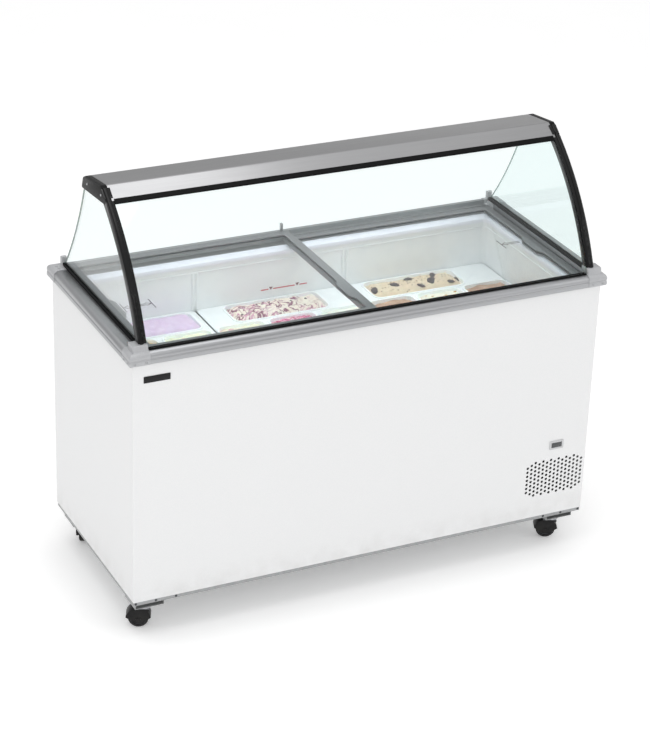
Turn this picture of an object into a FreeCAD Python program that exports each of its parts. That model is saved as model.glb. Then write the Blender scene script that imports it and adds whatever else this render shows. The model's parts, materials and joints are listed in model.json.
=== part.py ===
"""Ice cream dipping cabinet with a curved sneeze guard, sliding glass lids and casters.

Millimetres. +Z is up, the floor is z = 0, the front is -Y and the service side is +Y.
The origin is on the floor below the middle of the cabinet. Each sub-part is one STEP file.
"""
import FreeCAD, Part
import math
import os

# ---- cabinet body ----
BODY_W = 1480.0
BODY_D = 640.0
HALF_W = BODY_W / 2
HALF_D = BODY_D / 2
SHEET = 2.0
PANEL_FOLD = 1.6
TRAY_Z = 112.0
PANEL_Z = 124.0
BASE_SCREWS_X = (732.0, 670.0, 608.0)
RIM_Z = 878.0
RIM_TOP = 914.0
RIM_OVERHANG = 12.0
RIM_WIDTH = 60.0
RIM_GROOVE = 893.5
CORNER_PROUD = 1.2
SCREW_Z = 885.5
CORNER_SIZE = RIM_WIDTH + CORNER_PROUD

# ---- storage tank ----
TANK_X = 670.0
TANK_Y = 252.0
TANK_FLOOR = 194.0
STEP_X = 430.0
STEP_Z = 460.0
LINER = 1.5
TANK_CORNER = 18.0
BEAD_Z = 846.0
BEAD_H = 4.0
RIB_R = 4.0
RIB_OFFSET = 7.0
COLLAR_Z = 866.0
COLLAR_H = 8.0
COIL_GAP = 10.0
COIL_Z = 520.0
COIL_PITCH = 60.0
COIL_TURNS = 6
COIL_R = 4.0
COIL_BEND = 16.0
THROAT_X = TANK_X + 22.0
THROAT_Y = TANK_Y + 20.0

# ---- pans: a bay is its left edge, right edge, number of front pans and middle of its rear pan ----
BAYS = ((-670.0, -318.0, 2, -496.0), (-318.0, 180.0, 3, -80.0), (180.0, 670.0, 3, 385.0))
DECK_Z = 726.0
PAN_W = 150.0
PAN_L = 320.0
PAN_H = 120.0
PAN_LIP = 4.0
PAN_WALL = 2.0
PAN_CORNER = 24.0
PAN_PITCH = 170.0
FRONT_PAN_Y = -50.0
REAR_PAN_W = 120.0
REAR_PAN_L = 310.0
REAR_PAN_Y = 182.0

# ---- sliding lids ----
LID_T = 12.0
LID_BAR = 26.0
LID_GLASS = 4.0
UPPER_TRACK = 901.4
LOWER_TRACK = 886.9
LID_GAP = 0.5
LEFT_LID_SPAN = (-700.0, 12.0)
LEFT_LID_HALF_Y = 308.0
LEFT_LID_GRIPS = ((-1, -30.0), (1, -150.0))
RIGHT_LID_SPAN = (-12.0, 700.0)
RIGHT_LID_HALF_Y = 296.0
RIGHT_LID_GRIPS = ((1, -30.0),)
LID_GROOVE = 7.0
GRIP_LENGTH = 130.0
GRIP_DEPTH = 13.0

# ---- sneeze guard ----
GUARD_X = 700.0
CAP_T = 18.0
GLASS = 5.0
GLASS_FOOT = (-312.0, 916.0)
GLASS_HEAD = (-65.0, 1257.0)
GLASS_SAGITTA = 30.0
STRUT_W = 24.0
STRUT_IN = 22.0
PAD_TOP = 932.0
SIDE_GLASS_X = 708.0
SIDE_GLASS_REAR = (302.0, 916.0)
SIDE_GLASS_TOP = (122.0, 1232.0)
SIDE_GLASS_HOLLOW = 14.0
GASKET_TOP = 924.0
FRONT_GASKET_TOP = 918.5
LAMP_HALF_W = 610.0

# ---- compressor compartment ----
COMP_X0 = 480.0
COMP_TOP = 400.0
VENT_X = 633.0
VENT_Z = 256.0
VENT_COLUMNS = 15
VENT_PITCH_X = 13.4
VENT_PITCH_Z = 14.0
VENT_R = 4.5
VENT_ROWS_OUTER = 7
VENT_ROWS_ODD = 8
VENT_ROWS_EVEN = 9
THERMO_Z = 363.0
THERMO_W = 42.4
THERMO_H = 23.0
THERMO_PLAY = 0.3
THERMO_FACE_W = 48.0
THERMO_FACE_H = 28.6
DISPLAY_W = 36.0
DISPLAY_H = 17.0
SLOT_FIRST_Z = 160.0
SLOT_PITCH = 16.0
SLOT_H = 6.0
SLOT_SPANS = ((500.0, 560.0), (580.0, 640.0))

# ---- casters ----
CASTER_X = 680.0
CASTER_Y = 255.0
WHEEL_R = 30.0
WHEEL_W = 26.0
TRAIL = 18.0
AXLE_R = 4.0
KINGPIN_R = 5.0
RUNNING_GAP = 0.05
CASTERS = (("front_left", -1, -1, 155.5), ("front_right", 1, -1, 155.5),
           ("rear_left", -1, 1, 65.5), ("rear_right", 1, 1, 100.0))

# ---- rear controls ----
CONTROL_X = 600.0
CONTROL_Z = 300.0
CONTROL_AXIS = 40.0
CONTROL_HALF_W = 62.0
CONTROL_HALF_H = 35.0
KNOB_X = 575.0
ROCKER_X = 630.0
ROCKER_TILT = 8.0
SHAFT_R = 3.0
PIN_R = 1.5
PIVOT_IN = 3.0
PLATE_T = 3.0
GLAND_X = 700.0
GLAND_Z = 160.0


# ---- helpers ----

def vec(x, y, z):
    return FreeCAD.Vector(x, y, z)


def block(low, high):
    """Box between two corners."""
    return Part.makeBox(high[0] - low[0], high[1] - low[1], high[2] - low[2], vec(*low))


def rod(radius, length, base, axis=(0, 0, 1)):
    return Part.makeCylinder(radius, length, vec(*base), vec(*axis))


def unit(vector):
    return vector / vector.Length


def outline_wire(points, place):
    """Closed wire through the corners; a corner (a, b, r) is rounded to radius r."""
    flat = [vec(point[0], point[1], 0) for point in points]
    stations = []
    for index, point in enumerate(points):
        here = flat[index]
        if len(point) == 2:
            stations.append((here, None, here))
            continue
        back = unit(flat[index - 1] - here)
        ahead = unit(flat[(index + 1) % len(flat)] - here)
        half = back.getAngle(ahead) / 2
        reach = point[2] / math.tan(half)
        middle = here + unit(back + ahead) * (point[2] / math.sin(half) - point[2])
        stations.append((here + back * reach, middle, here + ahead * reach))
    edges = []
    for index, (entry, middle, leave) in enumerate(stations):
        if middle is not None:
            edges.append(Part.Arc(place(entry), place(middle), place(leave)).toShape())
        following = stations[(index + 1) % len(stations)][0]
        if (following - leave).Length > 1e-6:
            edges.append(Part.LineSegment(place(leave), place(following)).toShape())
    return Part.Wire(edges)


PLACES = {
    "x": lambda at: lambda p: vec(at, p.x, p.y),
    "y": lambda at: lambda p: vec(p.x, at, p.y),
    "z": lambda at: lambda p: vec(p.x, p.y, at),
}
AXES = {"x": vec(1, 0, 0), "y": vec(0, 1, 0), "z": vec(0, 0, 1)}


def prism(points, axis, start, end):
    """Solid made by pushing an outline along one axis."""
    face = Part.Face(outline_wire(points, PLACES[axis](start)))
    return face.extrude(AXES[axis] * (end - start))


def rounded_block(half_x, half_y, z0, z1, radius, centre=(0.0, 0.0)):
    """Upright block with rounded vertical corners."""
    x, y = centre
    points = [(x - half_x, y - half_y, radius), (x + half_x, y - half_y, radius),
              (x + half_x, y + half_y, radius), (x - half_x, y + half_y, radius)]
    return prism(points, "z", z0, z1)


def turned(points, base, axis=(0, 0, 1)):
    """Solid of revolution; the outline is (radius, height) from the base along the axis."""
    face = Part.Face(outline_wire(points, lambda p: vec(p.x, 0, p.y)))
    solid = face.revolve(vec(0, 0, 0), vec(0, 0, 1), 360)
    turn = FreeCAD.Rotation(vec(0, 0, 1), vec(*axis))
    solid.Placement = FreeCAD.Placement(vec(*base), turn)
    return solid


def pipe(points, radius, bend):
    """Round tube along straight runs joined by tangent arcs."""
    stops = [vec(*point) for point in points]
    edges = []
    last = stops[0]
    for before, corner, after in zip(stops, stops[1:], stops[2:]):
        back = unit(before - corner)
        ahead = unit(after - corner)
        half = back.getAngle(ahead) / 2
        reach = bend / math.tan(half)
        middle = corner + unit(back + ahead) * (bend / math.sin(half) - bend)
        edges.append(Part.LineSegment(last, corner + back * reach).toShape())
        edges.append(Part.Arc(corner + back * reach, middle, corner + ahead * reach).toShape())
        last = corner + ahead * reach
    edges.append(Part.LineSegment(last, stops[-1]).toShape())
    profile = Part.Wire(Part.makeCircle(radius, stops[0], stops[1] - stops[0]))
    return Part.Wire(edges).makePipeShell([profile], True, False)


def joined(solids):
    """One solid out of touching or overlapping solids."""
    solids = list(solids)
    return solids[0].multiFuse(solids[1:]).removeSplitter()


def without(solid, tools):
    return solid.cut(Part.makeCompound(list(tools)))


def group(solids):
    """Separate solids kept together in one sub-part."""
    return Part.makeCompound(list(solids))


def mirrored_x(solid):
    return solid.mirror(vec(0, 0, 0), vec(1, 0, 0))


def mirrored_y(solid):
    return solid.mirror(vec(0, 0, 0), vec(0, 1, 0))


# ---- outer casing ----

def vent_centres():
    """Staggered hole pattern of the compressor grille, with its corner holes left out."""
    for column in range(VENT_COLUMNS):
        rows = VENT_ROWS_ODD if column % 2 else VENT_ROWS_EVEN
        if column in (0, VENT_COLUMNS - 1):
            rows = VENT_ROWS_OUTER
        x = VENT_X + (column - (VENT_COLUMNS - 1) / 2) * VENT_PITCH_X
        for row in range(rows):
            yield x, VENT_Z + (row - (rows - 1) / 2) * VENT_PITCH_Z


def front_panel():
    panel = block((-HALF_W, -HALF_D, PANEL_Z), (HALF_W, -HALF_D + SHEET, RIM_Z))
    upright = [edge for edge in panel.Edges if abs(edge.Vertexes[0].Z - edge.Vertexes[1].Z) > 500]
    outer = [edge for edge in upright if edge.CenterOfMass.y < -HALF_D + 0.1]
    panel = panel.makeFillet(PANEL_FOLD, outer)
    holes = [rod(VENT_R, 10, (x, -HALF_D - 4, z), (0, 1, 0)) for x, z in vent_centres()]
    half_x = THERMO_W / 2 + THERMO_PLAY
    half_z = THERMO_H / 2 + THERMO_PLAY
    window = block((VENT_X - half_x, -HALF_D - 1, THERMO_Z - half_z),
                   (VENT_X + half_x, -HALF_D + 5, THERMO_Z + half_z))
    return without(panel, holes + [window])


def left_side_panel():
    return block((-HALF_W, -HALF_D + SHEET, PANEL_Z), (-HALF_W + SHEET, HALF_D - SHEET, RIM_Z))


def switch_space(half_x, half_z, y0, y1):
    """Block round the switch's pivot; y is measured from the rear panel's outer face."""
    z = CONTROL_Z + CONTROL_AXIS
    return block((ROCKER_X - half_x, HALF_D + y0, z - half_z), (ROCKER_X + half_x, HALF_D + y1, z + half_z))


def rear_panel():
    panel = block((-HALF_W, HALF_D - SHEET, PANEL_Z), (HALF_W, HALF_D, RIM_Z))
    slots = []
    for row in range(9):
        z = SLOT_FIRST_Z + row * SLOT_PITCH
        for x0, x1 in SLOT_SPANS:
            slots.append(block((x0, HALF_D - 5, z), (x1, HALF_D + 5, z + SLOT_H)))
    pocket = switch_space(14.0, 19.0, -5.0, 5.0)
    gland = rod(8.2, 10, (GLAND_X, HALF_D - 5, GLAND_Z), (0, 1, 0))
    return without(panel, slots + [pocket, gland])


def base_tray():
    tray = block((-HALF_W + 2, -HALF_D + 2, TRAY_Z), (HALF_W - 2, HALF_D - 2, PANEL_Z))
    hollow = block((-HALF_W + 5, -HALF_D + 5, TRAY_Z + 2), (HALF_W - 5, HALF_D - 5, PANEL_Z + 1))
    return tray.cut(hollow)


def base_screws():
    heads = []
    for offset in BASE_SCREWS_X:
        for x in (-offset, offset):
            for y, out in ((-HALF_D + 2, -1), (HALF_D - 2, 1)):
                heads.append(rod(4.0, 1.5, (x, y, TRAY_Z + 6), (0, out, 0)))
    return group(heads)


def foam_insulation():
    lower = block((-HALF_W + 5, -HALF_D + 5, TRAY_Z + 2), (COMP_X0, HALF_D - 5, PANEL_Z))
    upper = block((-HALF_W + SHEET, -HALF_D + SHEET, PANEL_Z),
                  (HALF_W - SHEET, HALF_D - SHEET, RIM_Z - LINER))
    compartment = block((COMP_X0, -400, TRAY_Z), (800, 400, COMP_TOP))
    reach_x = TANK_X + LINER + COIL_GAP
    reach_y = TANK_Y + LINER + COIL_GAP
    deep = block((-reach_x, -reach_y, TANK_FLOOR - LINER),
                 (STEP_X + LINER + COIL_GAP, reach_y, RIM_Z))
    shallow = block((0, -reach_y, STEP_Z - LINER), (reach_x, reach_y, RIM_Z))
    return without(lower.fuse(upper), [compartment, deep, shallow])


# ---- tank ----

def tank_space(grow, top):
    """Space inside the tank, grown outward by a wall thickness."""
    radius = TANK_CORNER + grow
    middle = (STEP_X - TANK_X) / 2
    half_x = (STEP_X + TANK_X) / 2 + grow
    deep = rounded_block(half_x, TANK_Y + grow, TANK_FLOOR - grow, top, radius, (middle, 0.0))
    shallow = rounded_block(TANK_X + grow, TANK_Y + grow, STEP_Z - grow, top, radius)
    return deep.fuse(shallow)


def bay_edges():
    return [bay[0] for bay in BAYS[1:]]


def tank_liner():
    shell = tank_space(LINER, RIM_Z)
    flange = block((-TANK_X - 30, -TANK_Y - 28, RIM_Z - LINER), (TANK_X + 30, TANK_Y + 28, RIM_Z))
    liner = shell.fuse(flange).cut(tank_space(0, RIM_Z + 1))
    bead = rounded_block(TANK_X + 0.5, TANK_Y + 0.5, BEAD_Z, BEAD_Z + BEAD_H, TANK_CORNER)
    bead = bead.cut(rounded_block(TANK_X - 2, TANK_Y - 2, BEAD_Z - 1, BEAD_Z + BEAD_H + 1, TANK_CORNER - 2))
    ribs = []
    for x in bay_edges():
        for side in (-1, 1):
            for offset in (-RIB_OFFSET, RIB_OFFSET):
                ribs.append(rod(RIB_R, BEAD_Z - DECK_Z - 1, (x + offset, side * TANK_Y, DECK_Z + 1)))
    outside = block((-2000, -2000, -2000), (2000, 2000, 2000)).cut(tank_space(LINER / 2, RIM_Z + 1))
    ribs = [rib.cut(outside) for rib in ribs]
    return joined([liner, bead] + ribs)


def breaker_collar():
    """White plastic frame that covers the tank's upper edge and slopes into it."""
    lower = rounded_block(TANK_X - 0.3, TANK_Y - 0.3, COLLAR_Z, RIM_Z + 1, TANK_CORNER)
    upper = block((-THROAT_X + 0.3, -THROAT_Y + 0.3, RIM_Z),
                  (THROAT_X - 0.3, THROAT_Y - 0.3, RIM_Z + COLLAR_H))
    wires = []
    for z, wider in ((COLLAR_Z - 2, -3.5), (RIM_Z, -2.0), (RIM_Z + COLLAR_H + 1, 19.0)):
        half_x = TANK_X + wider
        half_y = TANK_Y + wider - 1.0
        corners = [(-half_x, -half_y, 14.0), (half_x, -half_y, 14.0),
                   (half_x, half_y, 14.0), (-half_x, half_y, 14.0)]
        wires.append(outline_wire(corners, PLACES["z"](z)))
    throat = Part.makeLoft(wires, True, True)
    return lower.fuse(upper).cut(throat).removeSplitter()


def evaporator_coil():
    """Copper tube wound round the outside of the tank, between the liner and the foam."""
    x = TANK_X + LINER + COIL_GAP / 2
    y = TANK_Y + LINER + COIL_GAP / 2
    riser = 90.0 - y
    route = [(x, riser - 30, COIL_Z)]
    for lap in range(COIL_TURNS):
        z = COIL_Z + lap * COIL_PITCH
        route += [(x, -y, z), (-x, -y, z), (-x, y, z), (x, y, z), (x, riser, z)]
        route.append((x, riser, z + COIL_PITCH))
    route.pop()
    return pipe(route, COIL_R, COIL_BEND)


def pan_centres():
    """Centre and turn of every pan: front pans lie front to back, rear pans lie across."""
    for left, right, count, rear_middle in BAYS:
        pitch = min((right - left) / count, PAN_PITCH)
        middle = (left + right) / 2
        for index in range(count):
            yield middle + (index - (count - 1) / 2) * pitch, FRONT_PAN_Y, PAN_W / 2, PAN_L / 2
        yield rear_middle, REAR_PAN_Y, REAR_PAN_L / 2, REAR_PAN_W / 2


def tray_rails():
    rails = []
    for side in (-1, 1):
        y0, y1 = sorted((side * TANK_Y, side * (TANK_Y - 5)))
        rails.append(block((-TANK_X + 25, y0, DECK_Z - 19), (TANK_X - 25, y1, DECK_Z - 3)))
    return group(rails)


def pan_trays():
    trays = []
    holes = []
    for x, y, half_x, half_y in pan_centres():
        holes.append(rounded_block(half_x + 1.0, half_y + 1.0, DECK_Z - 5, DECK_Z + 1,
                                   PAN_CORNER + 1, (x, y)))
    for left, right, _, _ in BAYS:
        middle = (left + right) / 2
        half_x = (right - left) / 2 - 3.0
        tray = rounded_block(half_x, TANK_Y - 1.0, DECK_Z - 3, DECK_Z, 16.0, (middle, 0.0))
        trays.append(without(tray, holes))
    return group(trays)


def ice_cream_pans():
    pans = []
    for x, y, half_x, half_y in pan_centres():
        base = DECK_Z + 3 - PAN_H
        rim = rounded_block(half_x + PAN_LIP, half_y + PAN_LIP, DECK_Z, DECK_Z + 3,
                            PAN_CORNER + PAN_LIP, (x, y))
        tub = rounded_block(half_x, half_y, base, DECK_Z + 1, PAN_CORNER, (x, y))
        inside = rounded_block(half_x - PAN_WALL, half_y - PAN_WALL, base + PAN_WALL, DECK_Z + 4,
                               PAN_CORNER - PAN_WALL, (x, y))
        pans.append(rim.fuse(tub).cut(inside).removeSplitter())
    return group(pans)


def ice_cream():
    fills = []
    inset = PAN_WALL + 0.2
    bottom = DECK_Z + 3 - PAN_H + PAN_WALL
    for x, y, half_x, half_y in pan_centres():
        fills.append(rounded_block(half_x - inset, half_y - inset, bottom, DECK_Z + 2.5,
                                   PAN_CORNER - 2.5, (x, y)))
    return group(fills)


# ---- rim ----

def rim_outline(half, proud):
    """Edge profile as (distance outward, height)."""
    face = half + RIM_OVERHANG + proud
    inner = half + RIM_OVERHANG - RIM_WIDTH
    return [(inner, RIM_Z), (face - 2.0, RIM_Z), (face, RIM_Z + 2.0),
            (face, RIM_GROOVE - 2.5), (face - 1.6, RIM_GROOVE - 0.9), (face - 1.6, RIM_GROOVE + 0.9),
            (face, RIM_GROOVE + 2.5), (face, RIM_TOP + proud, 15.0), (inner, RIM_TOP + proud)]


def lid_well():
    """Space of the sliding lids: upper track, lower track and the throat below them."""
    upper = block((-704.0, -308.6, UPPER_TRACK), (704.0, 308.6, RIM_TOP + 5))
    lower = block((-THROAT_X, -296.6, LOWER_TRACK), (704.0, 296.6, UPPER_TRACK + 1))
    throat = block((-THROAT_X, -THROAT_Y, RIM_Z - 5), (THROAT_X, THROAT_Y, LOWER_TRACK + 1))
    return joined([upper, lower, throat])


def long_edge(proud, start, end):
    """Front edge between two x positions."""
    points = [(-point[0],) + tuple(point[1:]) for point in rim_outline(HALF_D, proud)]
    return prism(points, "x", start, end)


def short_edge(proud, start, end):
    """Right edge between two y positions."""
    return prism(rim_outline(HALF_W, proud), "y", start, end)


CORNER_X = HALF_W + RIM_OVERHANG + CORNER_PROUD - CORNER_SIZE
CORNER_Y = HALF_D + RIM_OVERHANG + CORNER_PROUD - CORNER_SIZE


def rim_front():
    return long_edge(0.0, -CORNER_X, CORNER_X).cut(lid_well())


def rim_rear():
    """The rear edge, and on it the upright tab that stops both lids."""
    edge = mirrored_y(long_edge(0.0, -CORNER_X, CORNER_X)).cut(lid_well())
    top = RIM_TOP + 22
    outline = [(312.0, RIM_TOP), (324.0, RIM_TOP), (324.0, top, 4.0), (312.0, top, 4.0)]
    tab = prism(outline, "x", -10.0, -4.0)
    return group([edge, tab])


def rim_right():
    return short_edge(0.0, -CORNER_Y, CORNER_Y).cut(lid_well())


def rim_left():
    return mirrored_x(short_edge(0.0, -CORNER_Y, CORNER_Y)).cut(lid_well())


def corner_block():
    """Moulded corner at +X -Y, mitred from the two edge profiles and slightly proud of them."""
    outer_x = CORNER_X + CORNER_SIZE
    outer_y = -CORNER_Y - CORNER_SIZE
    long_half = prism([(outer_x, outer_y), (CORNER_X, -CORNER_Y), (CORNER_X, outer_y)], "z", 800, 1000)
    short_half = prism([(outer_x, outer_y), (outer_x, -CORNER_Y), (CORNER_X, -CORNER_Y)], "z", 800, 1000)
    first = long_edge(CORNER_PROUD, CORNER_X, outer_x).common(long_half)
    second = short_edge(CORNER_PROUD, outer_y, -CORNER_Y).common(short_half)
    return first.fuse(second)


def front_corner(side):
    """Front corner with the raised pad that the strut stands on."""
    corner = corner_block()
    if side < 0:
        corner = mirrored_x(corner)
    corner = corner.cut(lid_well())
    x0, x1 = sorted((side * (GUARD_X + CAP_T - STRUT_W), side * 738.0))
    outline = [(-322.0, RIM_TOP), (-280.0, RIM_TOP), (-280.0, PAD_TOP, 3.0), (-318.0, PAD_TOP, 3.0)]
    pad = prism(outline, "x", x0, x1)
    return corner.fuse(pad).removeSplitter()


def rear_corner(side):
    """Rear corner with the upright tab that holds the side glass."""
    corner = mirrored_y(corner_block())
    if side < 0:
        corner = mirrored_x(corner)
    corner = corner.cut(lid_well())
    x0, x1 = sorted((side * 701.0, side * 716.0))
    outline = [(303.0, RIM_TOP), (318.0, RIM_TOP), (318.0, RIM_TOP + 26, 4.0), (303.0, RIM_TOP + 30, 3.0)]
    tab = prism(outline, "x", x0, x1)
    return corner.fuse(tab).removeSplitter()


def trim_screws():
    """Dome heads of the corner blocks and of the guard's end caps."""
    heads = []
    front_y = -HALF_D - RIM_OVERHANG - CORNER_PROUD
    side_x = HALF_W + RIM_OVERHANG + CORNER_PROUD
    for side in (-1, 1):
        for x in (738.0, 704.0):
            heads.append(dome((side * x, front_y, SCREW_Z), (0, -1, 0)))
            heads.append(dome((side * x, -front_y, SCREW_Z), (0, 1, 0)))
        for y in (-318.0, -290.0):
            heads.append(dome((side * side_x, y, SCREW_Z), (side, 0, 0)))
        for y in (300.0, 280.0):
            heads.append(dome((side * 734.0, y, RIM_TOP + CORNER_PROUD), (0, 0, 1)))
        for y, z in ((-30.0, 1262.0), (78.0, 1254.0)):
            heads.append(dome((side * (GUARD_X + CAP_T), y, z), (side, 0, 0)))
    return group(heads)


def dome(base, axis):
    return turned([(0, 0), (3.6, 0), (3.2, 1.6, 1.0), (0, 2.2)], base, axis)


# ---- sneeze guard ----

def arc_centre():
    """Centre (y, z) and radius of the glass's outer face, from its two ends and its rise."""
    y0, z0 = GLASS_FOOT
    y1, z1 = GLASS_HEAD
    chord = math.hypot(y1 - y0, z1 - z0)
    radius = chord ** 2 / (8 * GLASS_SAGITTA) + GLASS_SAGITTA / 2
    depth = radius - GLASS_SAGITTA
    y = (y0 + y1) / 2 + depth * (z1 - z0) / chord
    z = (z0 + z1) / 2 - depth * (y1 - y0) / chord
    return y, z, radius


ARC_Y, ARC_Z, ARC_R = arc_centre()


def arc_angle(point):
    """Angle of a (y, z) point about the glass's centre, from straight up towards the front."""
    return math.degrees(math.atan2(ARC_Y - point[0], point[1] - ARC_Z))


def swept(points, start, end):
    """Section (x, radius) turned about the glass's centre between two angles."""
    face = Part.Face(outline_wire(points, lambda p: vec(p.x, ARC_Y, ARC_Z + p.y)))
    face.rotate(vec(0, ARC_Y, ARC_Z), vec(1, 0, 0), start)
    return face.revolve(vec(0, ARC_Y, ARC_Z), vec(1, 0, 0), end - start)


def box_section(x0, x1, r0, r1):
    return [(x0, r0), (x1, r0), (x1, r1), (x0, r1)]


HOOD = [(95.0, 1272.0, 6.0), (-26.0, 1288.0, 12.0), (-70.0, 1256.0, 2.0), (-56.0, 1243.0, 4.0),
        (124.0, 1228.0, 4.0), (113.0, 1262.0, 8.0)]


def hood_solid(start, end):
    return prism(HOOD, "x", start, end)


def canopy_top():
    """Folded metal hood: a closed section 2 mm thick."""
    face = Part.Face(outline_wire(HOOD, PLACES["x"](-GUARD_X)))
    inner = face.makeOffset2D(-SHEET, 2)
    return face.cut(inner).extrude(vec(2 * GUARD_X, 0, 0))


def canopy_cap_right():
    return hood_solid(GUARD_X, GUARD_X + CAP_T)


def strut_right():
    """Curved post over the ends of the front glass, with a round ridge on its outside."""
    x0 = GUARD_X + CAP_T - STRUT_W
    x1 = GUARD_X + CAP_T
    start = arc_angle(GLASS_HEAD) - 3
    end = arc_angle(GLASS_FOOT) + 3
    post = swept(box_section(x0, x1, ARC_R - STRUT_IN, ARC_R + 2), start, end)
    section = [(x1 - 15, ARC_R + 1), (x1 - 3, ARC_R + 1),
               (x1 - 3, ARC_R + 6, 4.0), (x1 - 15, ARC_R + 6, 4.0)]
    ridge = swept(section, start, end)
    post = post.fuse(ridge)
    below = block((0, -600, 800), (800, 200, PAD_TOP))
    return without(post, [below, hood_solid(0, 800)]).removeSplitter()


def front_glass():
    x = GUARD_X + CAP_T - STRUT_W
    start = arc_angle(GLASS_HEAD) - 3
    end = arc_angle(GLASS_FOOT) + 3
    pane = swept(box_section(-x, x, ARC_R - GLASS, ARC_R), start, end)
    below = block((-800, -600, 800), (800, 200, GLASS_FOOT[1]))
    pane = without(pane, [below, hood_solid(-800, 800)])
    return max(pane.Solids, key=lambda solid: solid.Volume)


def side_glass_right():
    """Flat end pane; its rear edge is a shallow hollow curve."""
    x0 = SIDE_GLASS_X - GLASS / 2
    x1 = SIDE_GLASS_X + GLASS / 2
    foot = vec(x0, *SIDE_GLASS_REAR)
    head = vec(x0, *SIDE_GLASS_TOP)
    run = head - foot
    hollow = (foot + head) / 2 + unit(vec(0, -run.z, run.y)) * SIDE_GLASS_HOLLOW
    corners = [head, vec(x0, head.y, 1300.0), vec(x0, -400.0, 1300.0), vec(x0, -400.0, foot.z), foot]
    edges = [Part.Arc(foot, hollow, head).toShape()]
    edges += [Part.LineSegment(a, b).toShape() for a, b in zip(corners, corners[1:])]
    pane = Part.Face(Part.Wire(edges)).extrude(vec(x1 - x0, 0, 0))
    inside = rod(ARC_R - STRUT_IN, 100, (x0 - 10, ARC_Y, ARC_Z), (1, 0, 0))
    pane = without(pane.common(inside), [hood_solid(0, 800), front_corner(1), rear_corner(1)])
    return max(pane.Solids, key=lambda solid: solid.Volume)


def glass_gaskets():
    """Black seals: front channel, two side channels and the strip below the hood."""
    x = GUARD_X + CAP_T - STRUT_W
    front = block((-689.5, -316.5, RIM_TOP), (689.5, -303.0, FRONT_GASKET_TOP))
    right = block((702.0, -279.0, RIM_TOP), (714.0, 302.0, GASKET_TOP))
    left = mirrored_x(right)
    head = arc_angle(GLASS_HEAD)
    strip = swept(box_section(-x, x, ARC_R, ARC_R + 3), head - 0.2, head + 1.1)
    strip = max(strip.cut(hood_solid(-800, 800)).Solids, key=lambda solid: solid.Volume)
    panes = [front_glass(), side_glass_right(), mirrored_x(side_glass_right())]
    blocks = [front_corner(1), front_corner(-1), rear_corner(1), rear_corner(-1)]
    channels = [without(channel, panes + blocks) for channel in (front, left, right)]
    return group(channels + [strip])


def canopy_lamp():
    """Strip lamp under the hood."""
    outline = [(14.0, 1218.0, 6.0), (52.0, 1218.0, 6.0), (52.0, 1242.0), (14.0, 1242.0)]
    batten = prism(outline, "x", -LAMP_HALF_W, LAMP_HALF_W)
    return max(batten.cut(hood_solid(-800, 800)).Solids, key=lambda solid: solid.Volume)


# ---- lids ----

def lid_outline(span, half_y):
    left, right = span
    return [(left, -half_y, 4.0), (right, -half_y, 4.0), (right, half_y, 4.0), (left, half_y, 4.0)]


def lid_opening(span, half_y, grips):
    """Window of a lid frame; each grip is (side, y) and swells the bar into the window."""
    left = span[0] + LID_BAR
    right = span[1] - LID_BAR
    edge = half_y - LID_BAR
    corners = [(left, -edge, 10.0), (right, -edge, 10.0), (right, edge, 10.0), (left, edge, 10.0)]
    opening = prism(corners, "z", 800, 1000)
    swells = []
    for side, y in grips:
        root = left if side < 0 else right
        half = GRIP_LENGTH / 2
        crown = root - side * GRIP_DEPTH
        swell = [(root + side * 5, y - half - 8), (crown, y - half + 22, 12.0),
                 (crown, y + half - 22, 12.0), (root + side * 5, y + half + 8)]
        swells.append(prism(swell, "z", 790, 1010))
    return without(opening, swells)


def lid(span, half_y, base, grips):
    """Frame and pane of one lid."""
    top = base + LID_T
    solid = prism(lid_outline(span, half_y), "z", base, top)
    middle = (base + top) / 2
    groove_left = span[0] + LID_BAR - LID_GROOVE
    groove_right = span[1] - LID_BAR + LID_GROOVE
    groove_y = half_y - LID_BAR + LID_GROOVE
    pane = block((groove_left, -groove_y, middle - LID_GLASS / 2),
                 (groove_right, groove_y, middle + LID_GLASS / 2))
    frame = without(solid, [lid_opening(span, half_y, grips), pane])
    return frame, pane


def left_lid():
    return lid(LEFT_LID_SPAN, LEFT_LID_HALF_Y, UPPER_TRACK + LID_GAP, LEFT_LID_GRIPS)


def right_lid():
    return lid(RIGHT_LID_SPAN, RIGHT_LID_HALF_Y, LOWER_TRACK + LID_GAP, RIGHT_LID_GRIPS)


# ---- front and rear fittings ----

def badge_plate():
    outline = [(-708.0, 818.0, 1.5), (-629.0, 818.0, 1.5), (-629.0, 838.0, 1.5), (-708.0, 838.0, 1.5)]
    return prism(outline, "y", -HALF_D - 1.5, -HALF_D)


def thermometer_bezel():
    """Panel frame with its housing behind the panel."""
    x0 = VENT_X - THERMO_FACE_W / 2
    x1 = VENT_X + THERMO_FACE_W / 2
    z0 = THERMO_Z - THERMO_FACE_H / 2
    z1 = THERMO_Z + THERMO_FACE_H / 2
    outline = [(x0, z0, 3.0), (x1, z0, 3.0), (x1, z1, 3.0), (x0, z1, 3.0)]
    frame = prism(outline, "y", -HALF_D - 3, -HALF_D)
    housing = block((VENT_X - THERMO_W / 2, -HALF_D - 1, THERMO_Z - THERMO_H / 2),
                    (VENT_X + THERMO_W / 2, -HALF_D + 18, THERMO_Z + THERMO_H / 2))
    return frame.fuse(housing).cut(display_space(4.0)).removeSplitter()


def display_space(proud):
    """Block behind the thermometer's window, standing this far in front of the panel."""
    return block((VENT_X - DISPLAY_W / 2, -HALF_D - proud, THERMO_Z - DISPLAY_H / 2),
                 (VENT_X + DISPLAY_W / 2, -HALF_D + 1, THERMO_Z + DISPLAY_H / 2))


def thermometer_display():
    return display_space(1.4)


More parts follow.
